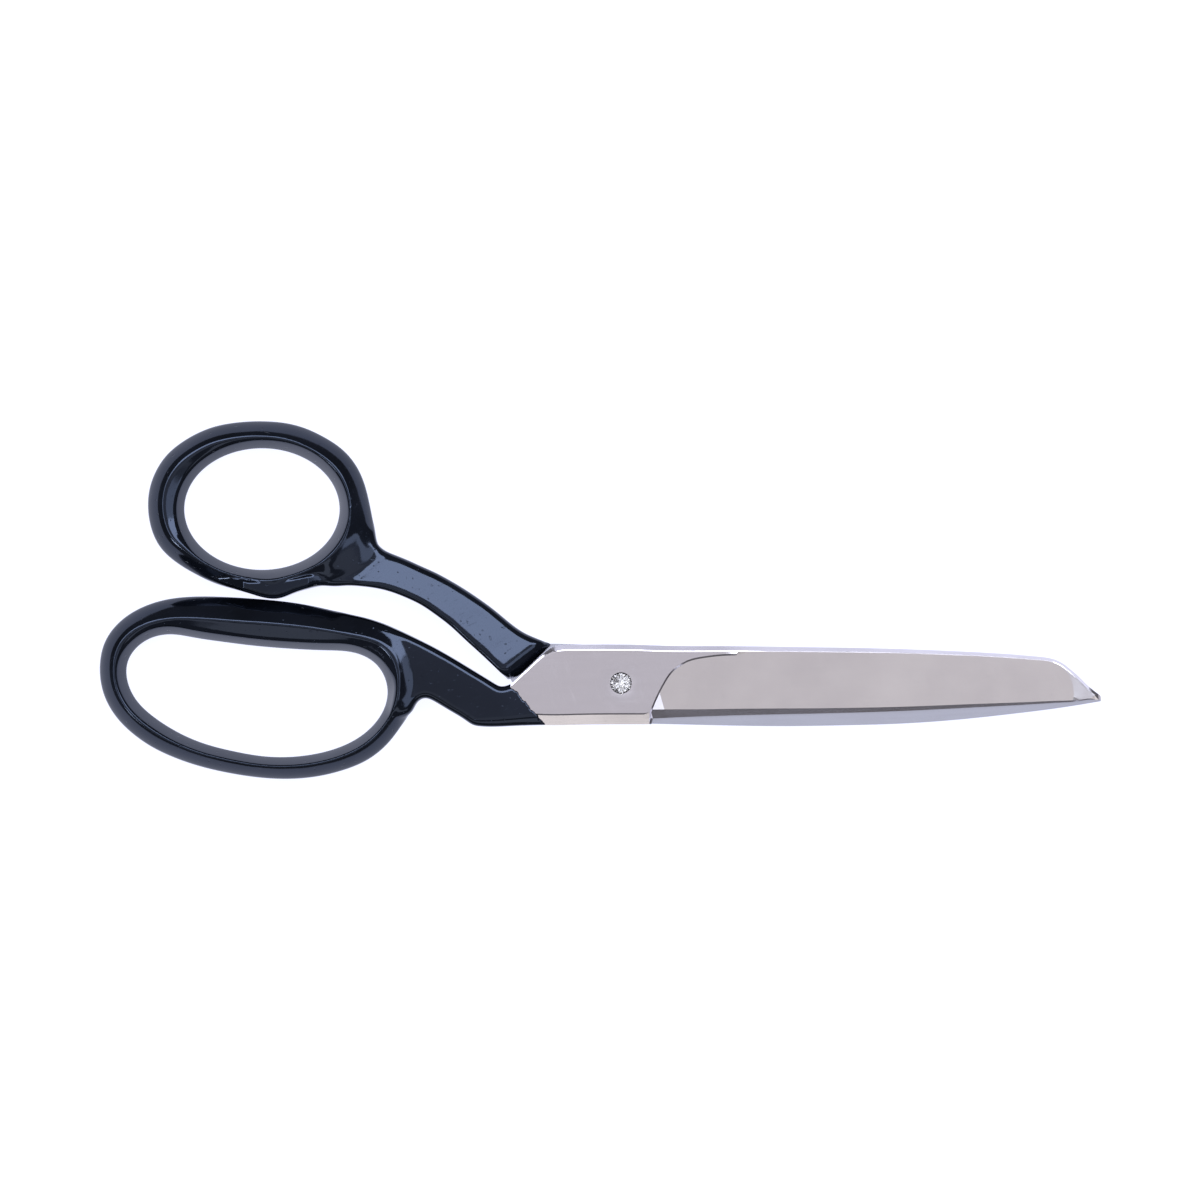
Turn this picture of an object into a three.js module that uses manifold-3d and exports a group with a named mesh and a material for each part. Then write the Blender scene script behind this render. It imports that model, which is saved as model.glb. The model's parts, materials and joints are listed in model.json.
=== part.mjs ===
// Bent-handle fabric shears, 8 inch size: two forged steel halves crossed on one screw. Each half is a
// blade, a ricasso, a shank and a bow in one piece of nickel-plated steel, and a coat of black enamel
// covers its shank and bow. The front half carries the long finger bow, the rear half the round thumb bow.
// Millimetres. The shears lie flat: +X towards the tips, +Y towards the thumb bow, +Z up.
// Everything is drawn from the pivot, with z = 0 where the blades meet. The rear half is drawn turned over,
// with its face up and its spine towards +Y, like the front half. The exported group is moved so that its
// origin is the centre of the underside of its box.
import * as THREE from "three";
import { mergeVertices } from "three/addons/utils/BufferGeometryUtils.js";
import Module from "manifold-3d";

// ---- Driving dimensions ----
const RICASSO_TOP = 3.6; // mating plane to the outer face of a ricasso
const MATING_GAP = 0.1; // each blade's inner face stands this far off the mating plane
const SHANK_THICK = 7.4; // full thickness of a shank over its enamel
const BOW_THICK = 9.6; // full thickness of a bow over its enamel
const SHANK_CHAMFER = 1.2;
const BOW_CHAMFER = 1.6;
const COAT = 0.5; // thickness of the enamel
const AIR = 0.3; // gap between the enamel and the forging inside it
const NECK_REACH = 1.6; // how far a shank's neck runs past its enamel, into the ricasso
const NECK_BLANK = 8; // length of the blank past the enamel, that the neck is cut from

// Pivot screw: slotted head under the rear blade, plain shoulder, and a shank staked in the front blade.
const HEAD_RADIUS = 4.8;
const HEAD_THICK = 1;
const HEAD_EDGE = 0.35; // chamfer round the head
const SHOULDER_RADIUS = 2.6;
const STAKED_RADIUS = 2.1;
const STAKED_PROUD = 0.2; // height of the staked end over the front ricasso
const PIVOT_GAP = 0.1; // clearance round the screw and over its head
const SLOT_WIDTH = 1.1;
const SLOT_DEPTH = 0.5;

// Facets of what is round.
const ROUND_SIDES = 40;
const BOW_SIDES = 44;
const RUNOUT_SIDES = 12;

// Grinding, alike on both blades. Heights are over the mating plane.
const RUNOUT = { x: 23.5, y: -6, rx: 17.3, ry: 12 }; // quarter ellipse where the ground face starts
const GROUND_HEIGHT = 3.45; // of the ground face, at the spine end of the run-out
const GROUND_TO_TIP = -0.02; // its rise per millimetre towards the tip
const GROUND_TO_SPINE = 0.12; // its rise per millimetre from the edge towards the spine
const SPINE_BEVEL = { width: 3, height: 2.6, toTip: -0.018, slope: 0.7 };
const EDGE_BEVEL = { width: 2, height: 0.45, toTip: 0, slope: 1.2 };
const FOOT_BEVEL = { width: 4, height: 2.75, toTip: 0, slope: 0.37 };
const BACK_BEVEL = { width: 2, height: 2.8, toTip: 0, slope: 0.9 };

// ---- Outlines ----
// The ricasso's free back edge, and where the cutting edge starts.
const RICASSO_HEEL = [-22.2, 0];
const RICASSO_FOOT = [-14.9, -8.6];
const CHOIL_X = 6.1;

const FRONT_BLADE = {
  spine: [[-14.2, 7.5], [-9, 7.85], [9, 7.65], [33, 7.4], [57, 6.95], [75, 6.2], [84, 5.5], [88, 5.05],
    [90, 4.3], [92, 2.85], [94, 1.1], [96, -1.2], [98.2, -3.1]],
  edge: [[94, -3.7], [75, -4.9], [57, -5.8], [28, -6.45], [CHOIL_X, -7.3]],
  foot: [[CHOIL_X, -8.5], RICASSO_FOOT],
};
const REAR_BLADE = {
  spine: [[-14.8, 8.2], [6, 8.4], [27, 8.9], [39, 8.9], [51, 8.65], [63, 8.05], [75, 7], [87, 5.6],
    [98.5, 3.85]],
  edge: [[98.5, 2.6], [90, 0], [75, -2.4], [57, -3.9], [28, -5.2], [CHOIL_X, -6]],
  foot: [[CHOIL_X, -7.5], [-13.8, -8]],
};

const FINGER_HANDLE = {
  hole: [[-47.8, -2.3], [-49.2, 3.3], [-54, 6.1], [-62, 6.7], [-71, 7.15], [-82, 8.45], [-91.5, 9.95],
    [-97.8, 8.4], [-101, 4.4], [-100.1, -2.3], [-95.1, -7.5], [-86, -12.3], [-76, -14.7], [-67, -15.2],
    [-57.4, -13.1], [-50.6, -8.3]],
  bow: [[-43.2, -2.5], [-43.9, 3.6], [-47.6, 9.4], [-55, 13.8], [-66, 16.4], [-79, 17.7], [-90, 17.75],
    [-97.6, 15.8], [-103.6, 11.6], [-106.9, 4.8], [-106.1, -2.3], [-101.8, -9], [-95.5, -13.6],
    [-86, -17.25], [-75, -19.5], [-64, -19.65], [-53.6, -16.9], [-46.6, -11.1]],
  shank: [[-26, 0], [-32, 3.8], [-38, 7.25], [-44, 10.25], [-50.5, 12.3], [-51.5, 7.5], [-46, 3],
    [-44.8, -5.5], [-40.6, -3.1], [-38, -3.95], [-32, -7.65], [-29.4, -8.95]],
  heel: [-22.6, -0.15],
  foot: [-15.3, -8.7],
};
const THUMB_HANDLE = {
  hole: [[-57.7, 35.6], [-60.7, 43], [-66.9, 46.9], [-73.6, 48], [-80.3, 46.9], [-86.5, 43], [-89.5, 35.6],
    [-86.5, 28.2], [-80.3, 24.3], [-73.6, 23.2], [-66.9, 24.3], [-60.7, 28.2]],
  bow: [[-51.2, 35.6], [-53.3, 42.9], [-57.9, 48.6], [-64, 52], [-73.4, 53.8], [-83.3, 52.7], [-91.6, 48.3],
    [-96.6, 40.7], [-96.3, 31.5], [-91.7, 25], [-84.2, 20.8], [-77, 18.5], [-71, 17.4], [-64.5, 18.7],
    [-57, 22.5], [-52.2, 28.8]],
  shank: [[-29, 6.1], [-35, 11.6], [-41, 15.95], [-47, 18.5], [-53, 19.7], [-61, 19.4], [-56, 27],
    [-52.5, 32], [-48.6, 27.4], [-41, 24.05], [-35, 21.15], [-29, 17.35], [-23, 12.6], [-20, 10.5]],
  heel: [-23.1, 0.5],
  foot: [-15.4, 8.45],
};

// ---- Solids ----
const FAR = 60; // reach of a cutter past the piece that it cuts
const wasm = await Module();
wasm.setup();

/** A closed three.js geometry as a manifold-3d solid, without the empty triangles of a lathe's poles. */
function solidOf(geometry) {
  geometry.deleteAttribute("normal");
  geometry.deleteAttribute("uv");
  const merged = mergeVertices(geometry, 1e-4);
  const corners = merged.index.array;
  const kept = [];
  for (let i = 0; i < corners.length; i += 3) {
    const [a, b, c] = corners.slice(i, i + 3);
    if (a !== b && b !== c && c !== a) kept.push(a, b, c);
  }
  return new wasm.Manifold(new wasm.Mesh({
    numProp: 3,
    vertProperties: merged.getAttribute("position").array,
    triVerts: new Uint32Array(kept),
  }));
}

/** A manifold-3d solid as a three.js geometry. */
function geometryOf(solid) {
  const { vertProperties, triVerts } = solid.getMesh();
  const geometry = new THREE.BufferGeometry();
  geometry.setAttribute("position", new THREE.BufferAttribute(vertProperties, 3));
  geometry.setIndex(new THREE.BufferAttribute(triVerts, 1));
  return geometry;
}

const join = (solids) => solids.reduce((whole, one) => whole.add(one));
const cut = (whole, cutters) => cutters.reduce((left, one) => left.subtract(one), whole);

/** A three.js shape of an outline, turned to run anticlockwise. */
function shapeOf(outline) {
  const points = outline.map(([x, y]) => new THREE.Vector2(x, y));
  return new THREE.Shape(THREE.ShapeUtils.area(points) < 0 ? points.reverse() : points);
}

/** Evenly spaced points of a smooth closed curve through the given ones. */
function smoothLoop(outline, count) {
  const curve = new THREE.CatmullRomCurve3(outline.map(([x, y]) => new THREE.Vector3(x, y, 0)), true);
  return curve.getSpacedPoints(count).slice(0, count).map((p) => [p.x, p.y]);
}

/** A plate between two heights, with square edges. */
function plate(shape, low, high) {
  const made = new THREE.ExtrudeGeometry(shape, { depth: high - low, bevelEnabled: false });
  return solidOf(made.translate(0, 0, low));
}

/** A chamfered plate centred on the mating plane, with every face drawn in by the inset. */
function chamferedPlate(shape, thickness, outerChamfer, inset) {
  const chamfer = outerChamfer - inset * (2 - Math.SQRT2);
  const made = new THREE.ExtrudeGeometry(shape, {
    depth: thickness - 2 * (inset + chamfer), bevelEnabled: true, bevelSegments: 1,
    bevelThickness: chamfer, bevelSize: chamfer, bevelOffset: -chamfer - inset,
  });
  return solidOf(made.translate(0, 0, inset + chamfer - thickness / 2));
}

/** All that lies over an outline and above a plane of the given slopes, at a height over one point. */
function cutterAbove(outline, [x, y], height, slopeX, slopeY) {
  const shear = new THREE.Matrix4().set(
    1, 0, 0, 0,
    0, 1, 0, 0,
    slopeX, slopeY, 1, height - slopeX * x - slopeY * y,
    0, 0, 0, 1,
  );
  const block = new THREE.ExtrudeGeometry(shapeOf(outline), { depth: FAR, bevelEnabled: false });
  return solidOf(block.applyMatrix4(shear));
}

/** Cutters for a bevel along a path that has the solid on its right. The bevel's height is the one that it
 * leaves on the path, and it rises from there into the solid. */
function bevelCutters(path, { width, height, toTip, slope }) {
  return path.slice(1).map(([bx, by], i) => {
    const [ax, ay] = path[i];
    const length = Math.hypot(bx - ax, by - ay);
    const [ux, uy] = [(bx - ax) / length, (by - ay) / length];
    const beside = (x, y, side) => [x + uy * side, y - ux * side];
    const farSide = [beside(ax, ay, -width), beside(bx, by, -width)];
    const nearSide = [beside(bx, by, width), beside(ax, ay, width)];
    const [climbX, climbY] = [toTip * ux * ux + slope * uy, toTip * ux * uy - slope * ux];
    return cutterAbove([...farSide, ...nearSide], [ax, ay], height + toTip * ax, climbX, climbY);
  });
}

/** A round solid on the pivot axis, from its profile of [radius, height] pairs. */
function turned(profile) {
  const closed = [[0, profile[0][1]], ...profile, [0, profile.at(-1)[1]]];
  const outline = closed.map(([radius, z]) => new THREE.Vector2(radius, z));
  const lathe = new THREE.LatheGeometry(outline, ROUND_SIDES);
  return solidOf(lathe.rotateX(Math.PI / 2));
}

const pivotHole = (radius) => turned([[radius, -FAR], [radius, FAR]]);

// ---- Handles ----
/** What lies past the end of a handle's enamel, moved towards the tips by a distance. */
function pastEnamel({ heel: [hx, hy], foot: [fx, fy] }, distance) {
  const [runX, runY] = [2 * (fx - hx), 2 * (fy - hy)];
  const over = [hx + distance - runX, hy - runY];
  const under = [fx + distance + runX, fy + runY];
  return plate(shapeOf([over, under, [FAR, under[1]], [FAR, over[1]]]), -FAR, FAR);
}

/** A bow and shank as one solid, smaller than the enamelled handle by an inset. Its neck, above a floor
 * height, runs on past the end of the enamel by a reach. */
function handleSolid(handle, { inset, floor, reach }) {
  const { hole, bow, shank, heel, foot } = handle;
  const ring = shapeOf(smoothLoop(bow, BOW_SIDES));
  ring.holes.push(shapeOf(smoothLoop(hole, ROUND_SIDES)));
  const [longHeel, longFoot] = [heel, foot].map(([x, y]) => [x + NECK_BLANK, y]);
  const longShank = shapeOf([longHeel, heel, ...shank, foot, longFoot]);
  const neck = cut(chamferedPlate(longShank, SHANK_THICK, SHANK_CHAMFER, inset), [
    pastEnamel(handle, reach),
    plate(shapeOf([[-FAR, -FAR], [FAR, -FAR], [FAR, FAR], [-FAR, FAR]]), -FAR, floor),
  ]);
  return join([
    chamferedPlate(ring, BOW_THICK, BOW_CHAMFER, inset),
    chamferedPlate(shapeOf([heel, ...shank, foot]), SHANK_THICK, SHANK_CHAMFER, inset),
    neck,
  ]);
}

/** The enamel of a handle: a coat with a clearance inside it, open where the ricasso leaves it. */
function enamelSolid(handle) {
  const outside = handleSolid(handle, { inset: 0, floor: MATING_GAP, reach: 0 });
  const inside = handleSolid(handle, { inset: COAT, floor: MATING_GAP - AIR, reach: 2 * NECK_REACH });
  return outside.subtract(inside);
}

// ---- Forgings ----
/** What grinding takes off a blade between the run-out and the tip. */
function groundFaceCutter() {
  const { x, y, rx, ry } = RUNOUT;
  const runout = new THREE.EllipseCurve(x, y, rx, ry, Math.PI, Math.PI / 2, true).getPoints(RUNOUT_SIDES);
  const tipX = 2 * FAR;
  const outline = [...runout.map((p) => [p.x, p.y]), [x, FAR], [tipX, FAR], [tipX, -FAR], [x - rx, -FAR]];
  return cutterAbove(outline, [x, y + ry], GROUND_HEIGHT, GROUND_TO_TIP, GROUND_TO_SPINE);
}

/** A ground blade and its ricasso, without the shank. */
function bladeSolid({ spine, edge, foot }) {
  const blank = plate(shapeOf([RICASSO_HEEL, ...spine, ...edge, ...foot]), MATING_GAP, RICASSO_TOP);
  return cut(blank, [
    groundFaceCutter(),
    ...bevelCutters(spine, SPINE_BEVEL),
    ...bevelCutters([spine.at(-1), ...edge], EDGE_BEVEL),
    ...bevelCutters(foot, FOOT_BEVEL),
    ...bevelCutters([RICASSO_HEEL, spine[0]], BACK_BEVEL),
  ]);
}

/** One forged half: a blade, and the shank and bow that run inside the enamel. */
function forgingSolid(blade, handle, pivotRadius) {
  const core = handleSolid(handle, { inset: COAT + AIR, floor: MATING_GAP, reach: NECK_REACH });
  return join([bladeSolid(blade), core]).subtract(pivotHole(pivotRadius + PIVOT_GAP));
}

// ---- Screw ----
/** The pivot screw, with its slot across the underside of the head. */
function screwSolid() {
  const headTop = -RICASSO_TOP - PIVOT_GAP;
  const headBottom = headTop - HEAD_THICK;
  const body = turned([
    [HEAD_RADIUS - HEAD_EDGE, headBottom], [HEAD_RADIUS, headBottom + HEAD_EDGE], [HEAD_RADIUS, headTop],
    [SHOULDER_RADIUS, headTop], [SHOULDER_RADIUS, 0],
    [STAKED_RADIUS, 0], [STAKED_RADIUS, RICASSO_TOP + STAKED_PROUD],
  ]);
  const [halfLength, halfWidth] = [2 * HEAD_RADIUS, SLOT_WIDTH / 2];
  const slot = shapeOf([
    [-halfLength, -halfWidth], [halfLength, -halfWidth], [halfLength, halfWidth], [-halfLength, halfWidth],
  ]);
  return body.subtract(plate(slot, -FAR, headBottom + SLOT_DEPTH));
}

// ---- Assembly ----
const PLATED_STEEL = { color: 0xb7b2b8, roughness: 0.22, metalness: 1 };
const SCREW_STEEL = { color: 0xc9c7c6, roughness: 0.38, metalness: 1 };
const BLACK_ENAMEL = { color: 0x14171e, roughness: 0.12, metalness: 0 };

/** A named part in its own finish. */
function part(name, solid, finish) {
  const mesh = new THREE.Mesh(geometryOf(solid), new THREE.MeshStandardMaterial(finish));
  mesh.name = name;
  return mesh;
}

/** A handle's outlines as they are seen from its other side. */
function turnedOver(handle) {
  const flip = ([x, y]) => [x, -y];
  return Object.fromEntries(Object.entries(handle).map(
    ([key, value]) => [key, Array.isArray(value[0]) ? value.map(flip) : flip(value)],
  ));
}

const fingerHalf = new THREE.Group();
fingerHalf.add(
  part("front_blade", forgingSolid(FRONT_BLADE, FINGER_HANDLE, STAKED_RADIUS), PLATED_STEEL),
  part("finger_handle_enamel", enamelSolid(FINGER_HANDLE), BLACK_ENAMEL),
  part("pivot_screw", screwSolid(), SCREW_STEEL),
);

const thumbHandle = turnedOver(THUMB_HANDLE);
const thumbHalf = new THREE.Group();
thumbHalf.add(
  part("rear_blade", forgingSolid(REAR_BLADE, thumbHandle, SHOULDER_RADIUS), PLATED_STEEL),
  part("thumb_handle_enamel", enamelSolid(thumbHandle), BLACK_ENAMEL),
);
thumbHalf.rotation.x = Math.PI;

const shears = new THREE.Group();
shears.add(fingerHalf, thumbHalf);
const box = new THREE.Box3().setFromObject(shears);
const middle = box.getCenter(new THREE.Vector3());
shears.position.set(-middle.x, -middle.y, -box.min.z);

export default shears;
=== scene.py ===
"""Bent-handle fabric shears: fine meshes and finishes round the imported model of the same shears.

Shapes are drawn in millimetres from the pivot, with z = 0 where the two blades meet, +X towards the tips
and +Z out of the front blade. ``Bench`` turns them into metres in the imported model's frame. The rear blade
is drawn turned over, so that both blades are drawn face up with the spine towards +Y.
"""

from __future__ import annotations

import json
import logging
import math
from dataclasses import dataclass
from enum import Enum
from typing import Any, Callable, Sequence

import bpy
import numpy as np
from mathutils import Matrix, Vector
from mathutils.geometry import delaunay_2d_cdt

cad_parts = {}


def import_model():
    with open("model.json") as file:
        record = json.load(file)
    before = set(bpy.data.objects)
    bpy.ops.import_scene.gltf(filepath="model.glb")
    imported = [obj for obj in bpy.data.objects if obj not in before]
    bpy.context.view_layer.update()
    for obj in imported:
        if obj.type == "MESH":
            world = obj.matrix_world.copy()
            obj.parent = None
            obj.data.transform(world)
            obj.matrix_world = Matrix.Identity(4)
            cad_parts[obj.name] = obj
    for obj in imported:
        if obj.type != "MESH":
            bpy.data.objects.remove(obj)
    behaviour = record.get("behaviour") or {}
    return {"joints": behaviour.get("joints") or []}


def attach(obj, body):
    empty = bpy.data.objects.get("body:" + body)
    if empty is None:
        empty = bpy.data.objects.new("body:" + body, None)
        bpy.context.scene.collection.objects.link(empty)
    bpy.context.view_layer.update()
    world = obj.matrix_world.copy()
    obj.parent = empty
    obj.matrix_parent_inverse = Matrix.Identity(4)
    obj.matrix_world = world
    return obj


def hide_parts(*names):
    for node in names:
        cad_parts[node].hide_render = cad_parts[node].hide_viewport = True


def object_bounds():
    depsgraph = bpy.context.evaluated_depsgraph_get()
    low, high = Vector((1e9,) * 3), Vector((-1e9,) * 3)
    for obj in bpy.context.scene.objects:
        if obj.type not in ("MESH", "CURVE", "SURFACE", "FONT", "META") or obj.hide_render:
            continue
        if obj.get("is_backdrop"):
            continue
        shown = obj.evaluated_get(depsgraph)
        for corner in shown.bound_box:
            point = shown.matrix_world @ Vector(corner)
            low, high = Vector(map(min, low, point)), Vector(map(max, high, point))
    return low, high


log = logging.getLogger("shears")

MM = 0.001
TINY = 1e-12
POINTS_AT_A_TIME = 4000
Array = np.ndarray
Point = tuple[float, float]


class Body(Enum):
    """The two rigid halves of the shears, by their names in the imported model."""

    FINGER = "finger_half"
    THUMB = "thumb_half"


class Slot(Enum):
    """The record's material slots."""

    STEEL = "plated_steel"
    ENAMEL = "black_enamel"
    SCREW = "screw_steel"


# ---------------------------------------------------------------------------------------------
# Placing meshes
# ---------------------------------------------------------------------------------------------
def new_object(name: str, data: bpy.types.ID) -> bpy.types.Object:
    """Makes an object in the scene.

    Args:
        name: The object's name.
        data: Its mesh, light or camera.

    Returns:
        The new object.
    """
    obj = bpy.data.objects.new(name, data)
    bpy.context.scene.collection.objects.link(obj)
    return obj


@dataclass
class Bench:
    """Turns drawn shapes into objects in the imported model's frame.

    Args:
        pivot: The pivot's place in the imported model, in metres.
    """

    pivot: Vector

    def rows(self, drawn: Array, turned_over: bool = False) -> Array:
        """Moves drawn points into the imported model's frame.

        Args:
            drawn: Points in millimetres from the pivot, one a row.
            turned_over: True for points drawn with the shears turned over.

        Returns:
            The points in metres.
        """
        flip = np.array((1.0, -1.0, -1.0)) if turned_over else np.ones(3)
        return drawn * flip * MM + np.array(self.pivot)

    def piece(
        self,
        name: str,
        mesh_data: tuple[Array, Sequence[Sequence[int]]],
        body: Body,
        slot: Slot,
        material: bpy.types.Material,
        turned_over: bool = False,
        crease_angle: float = 180.0,
    ) -> bpy.types.Object:
        """Makes one finished piece from drawn points and faces.

        Args:
            name: The piece's name.
            mesh_data: Its points in millimetres and its faces.
            body: The half it moves with.
            slot: The record's slot that its finish comes from; not used.
            material: Its finish.
            turned_over: True where it is drawn with the shears turned over.
            crease_angle: Edges that turn by more than this many degrees stay sharp.

        Returns:
            The new object, riding on its body.
        """
        points, faces = mesh_data
        mesh = bpy.data.meshes.new(name)
        mesh.from_pydata(self.rows(points, turned_over).tolist(), [], [list(f) for f in faces])
        mesh.validate()
        mesh.polygons.foreach_set("use_smooth", [True] * len(mesh.polygons))
        if crease_angle < 180.0:
            mesh.set_sharp_from_angle(angle=math.radians(crease_angle))
        mesh.materials.append(material)
        mesh.update()
        obj = new_object(name, mesh)
        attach(obj, body.value)
        log.info("%s: %d points, %d faces", name, len(mesh.vertices), len(mesh.polygons))
        return obj


# ---------------------------------------------------------------------------------------------
# Curves in plan
# ---------------------------------------------------------------------------------------------
def cubic_pieces(
    chord: Array, start: Array, end: Array, start_bend: Array, end_bend: Array, spacing: float
) -> Array:
    """Samples the cubic pieces of a curve, without each piece's last point.

    Args:
        chord: The length of each piece's chord.
        start: Where each piece starts.
        end: Where each piece ends.
        start_bend: The curve's second derivative at each start.
        end_bend: The curve's second derivative at each end.
        spacing: The distance between the samples.

    Returns:
        The samples, one a row.
    """
    samples = []
    for length, p, q, p_bend, q_bend in zip(chord, start, end, start_bend, end_bend):
        right = np.arange(0, 1, 1 / max(2, round(length / spacing)))[:, None]
        left = 1 - right
        bulge = ((left**3 - left) * p_bend + (right**3 - right) * q_bend) * length**2 / 6
        samples.append(left * p + right * q + bulge)
    return np.vstack(samples)


def smooth_loop(points: Sequence[Point], spacing: float = 0.35) -> Array:
    """Runs a closed curve of continuous curvature through points.

    Args:
        points: The points that the curve passes through, in order.
        spacing: The distance between the samples that come back.

    Returns:
        Samples of the curve, one a row, the first not repeated at the end.
    """
    knots = np.array(points, float)
    n = len(knots)
    chord = np.linalg.norm(np.roll(knots, -1, 0) - knots, axis=1)
    before = np.roll(chord, 1)
    matrix = np.zeros((n, n))
    for i in range(n):
        matrix[i, (i - 1) % n] += before[i]
        matrix[i, i] += 2 * (before[i] + chord[i])
        matrix[i, (i + 1) % n] += chord[i]
    slope = (np.roll(knots, -1, 0) - knots) / chord[:, None]
    bend = np.linalg.solve(matrix, 6 * (slope - np.roll(slope, 1, 0)))
    return cubic_pieces(chord, knots, np.roll(knots, -1, 0), bend, np.roll(bend, -1, 0), spacing)


def smooth_path(points: Sequence[Point], spacing: float = 0.5) -> Array:
    """Runs an open curve of continuous curvature through points.

    Args:
        points: The points that the curve passes through, in order.
        spacing: The distance between the samples that come back.

    Returns:
        Samples of the curve, one a row, both ends included.
    """
    knots = np.array(points, float)
    n = len(knots)
    if n < 3:
        count = max(2, round(float(np.linalg.norm(knots[1] - knots[0])) / spacing) + 1)
        return knots[0] + np.linspace(0, 1, count)[:, None] * (knots[1] - knots[0])
    chord = np.linalg.norm(knots[1:] - knots[:-1], axis=1)
    matrix = np.eye(n)
    right_side = np.zeros((n, 2))
    slope = (knots[1:] - knots[:-1]) / chord[:, None]
    for i in range(1, n - 1):
        matrix[i, i - 1 : i + 2] = chord[i - 1], 2 * (chord[i - 1] + chord[i]), chord[i]
        right_side[i] = 6 * (slope[i] - slope[i - 1])
    bend = np.linalg.solve(matrix, right_side)
    samples = cubic_pieces(chord, knots[:-1], knots[1:], bend[:-1], bend[1:], spacing)
    return np.vstack([samples, knots[-1:]])


def distance_to(path: Array, points: Array, closed: bool) -> Array:
    """Measures how far points lie from a path.

    Args:
        path: The path's samples.
        points: The points to measure from, one a row.
        closed: True where the path's end joins its start.

    Returns:
        One distance for each point.
    """
    start = path if closed else path[:-1]
    run = (np.roll(path, -1, 0) if closed else path[1:]) - start
    length2 = np.maximum((run**2).sum(1), TINY)
    result = np.empty(len(points))
    for low in range(0, len(points), POINTS_AT_A_TIME):
        part = slice(low, low + POINTS_AT_A_TIME)
        offset = points[part, None, :] - start[None]
        t = np.clip((offset * run[None]).sum(2) / length2, 0, 1)
        gap = offset - t[..., None] * run[None]
        result[part] = np.sqrt((gap**2).sum(2).min(1))
    return result


def is_inside(loop: Array, points: Array) -> Array:
    """Tells which points lie inside a closed loop."""
    x0, y0 = loop[:, 0], loop[:, 1]
    x1, y1 = np.roll(x0, -1), np.roll(y0, -1)
    rise = np.where(np.abs(y1 - y0) < TINY, TINY, y1 - y0)
    result = np.empty(len(points), bool)
    for low in range(0, len(points), POINTS_AT_A_TIME):
        part = slice(low, low + POINTS_AT_A_TIME)
        px, py = points[part, 0, None], points[part, 1, None]
        crossing = ((y0 > py) != (y1 > py)) & (px < x0 + (py - y0) * (x1 - x0) / rise)
        result[part] = crossing.sum(1) % 2 == 1
    return result


def depth_in(loop: Array, points: Array) -> Array:
    """Measures how deep points lie inside a closed loop; outside it, the depth is negative."""
    return np.where(is_inside(loop, points), 1, -1) * distance_to(loop, points, closed=True)


@dataclass
class PlanField:
    """A quantity over the plan, sampled on a grid and read back smoothly.

    Args:
        low: The grid's lowest corner.
        step: The grid's spacing.
        values: The samples, indexed by x, then y.
    """

    low: Array
    step: float
    values: Array

    @classmethod
    def sampled(cls, rule: Callable[[Array], Array], low: Array, high: Array, step: float) -> PlanField:
        """Samples a quantity on a grid that reaches a little past a part of the plan.

        Args:
            rule: Gives the quantity at places, one a row.
            low: The lowest corner of the plan to cover.
            high: Its highest corner.
            step: The grid's spacing.

        Returns:
            The field.
        """
        xs, ys = (np.arange(a - 2 * step, b + 3 * step, step) for a, b in zip(low, high))
        places = np.stack(np.meshgrid(xs, ys, indexing="ij"), -1).reshape(-1, 2)
        return cls(places[0], step, rule(places).reshape(len(xs), len(ys)))

    @classmethod
    def of_loop(cls, loop: Array, low: Array, high: Array, step: float) -> PlanField:
        """Samples the depth inside a loop.

        Args:
            loop: The closed loop.
            low: The lowest corner of the plan to cover.
            high: Its highest corner.
            step: The grid's spacing.

        Returns:
            The field, positive inside the loop.
        """
        return cls.sampled(lambda places: depth_in(loop, places), low, high, step)

    @classmethod
    def between(cls, left: Array, right: Array, low: Array, high: Array, step: float) -> PlanField:
        """Samples how much nearer places are to one path than to another.

        Args:
            left: The first path.
            right: The second path.
            low: The lowest corner of the plan to cover.
            high: Its highest corner.
            step: The grid's spacing.

        Returns:
            The field, positive nearer the first path and zero halfway.
        """

        def nearer_left(places: Array) -> Array:
            """Half the difference of the two distances."""
            return (distance_to(right, places, closed=False) - distance_to(left, places, closed=False)) / 2

        return cls.sampled(nearer_left, low, high, step)

    def at(self, x: Array, y: Array) -> Array:
        """Reads the field at places by cubic interpolation.

        Args:
            x: The places' x.
            y: The places' y.

        Returns:
            One value for each place.
        """
        x, y = np.broadcast_arrays(x, y)
        total = np.zeros(x.shape)
        u = np.clip((x - self.low[0]) / self.step, 1, self.values.shape[0] - 3)
        v = np.clip((y - self.low[1]) / self.step, 1, self.values.shape[1] - 3)
        i, j = np.floor(u).astype(int), np.floor(v).astype(int)
        for di, wu in zip(range(-1, 3), self._weights(u - i)):
            for dj, wv in zip(range(-1, 3), self._weights(v - j)):
                total += wu * wv * self.values[i + di, j + dj]
        return total

    @staticmethod
    def _weights(t: Array) -> tuple[Array, ...]:
        """The four weights of cubic interpolation at a fraction of a cell."""
        return (
            (-t + 2 * t**2 - t**3) / 2,
            (2 - 5 * t**2 + 3 * t**3) / 2,
            (t + 4 * t**2 - 3 * t**3) / 2,
            (t**3 - t**2) / 2,
        )


def soft_max(a: Array, b: Array, radius: float) -> Array:
    """The larger of two fields, with the corner between them rounded."""
    return np.maximum(a, b) + np.maximum(radius - np.abs(a - b), 0) ** 2 / (4 * radius)


def soft_min(a: Array, b: Array, radius: float) -> Array:
    """The smaller of two fields, with a fillet between them."""
    return -soft_max(-a, -b, radius)


# ---------------------------------------------------------------------------------------------
# Skins: a mesh wrapped on a rule that is negative inside the solid
# ---------------------------------------------------------------------------------------------
Rule = Callable[[Array, Array, Array], Array]


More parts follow.
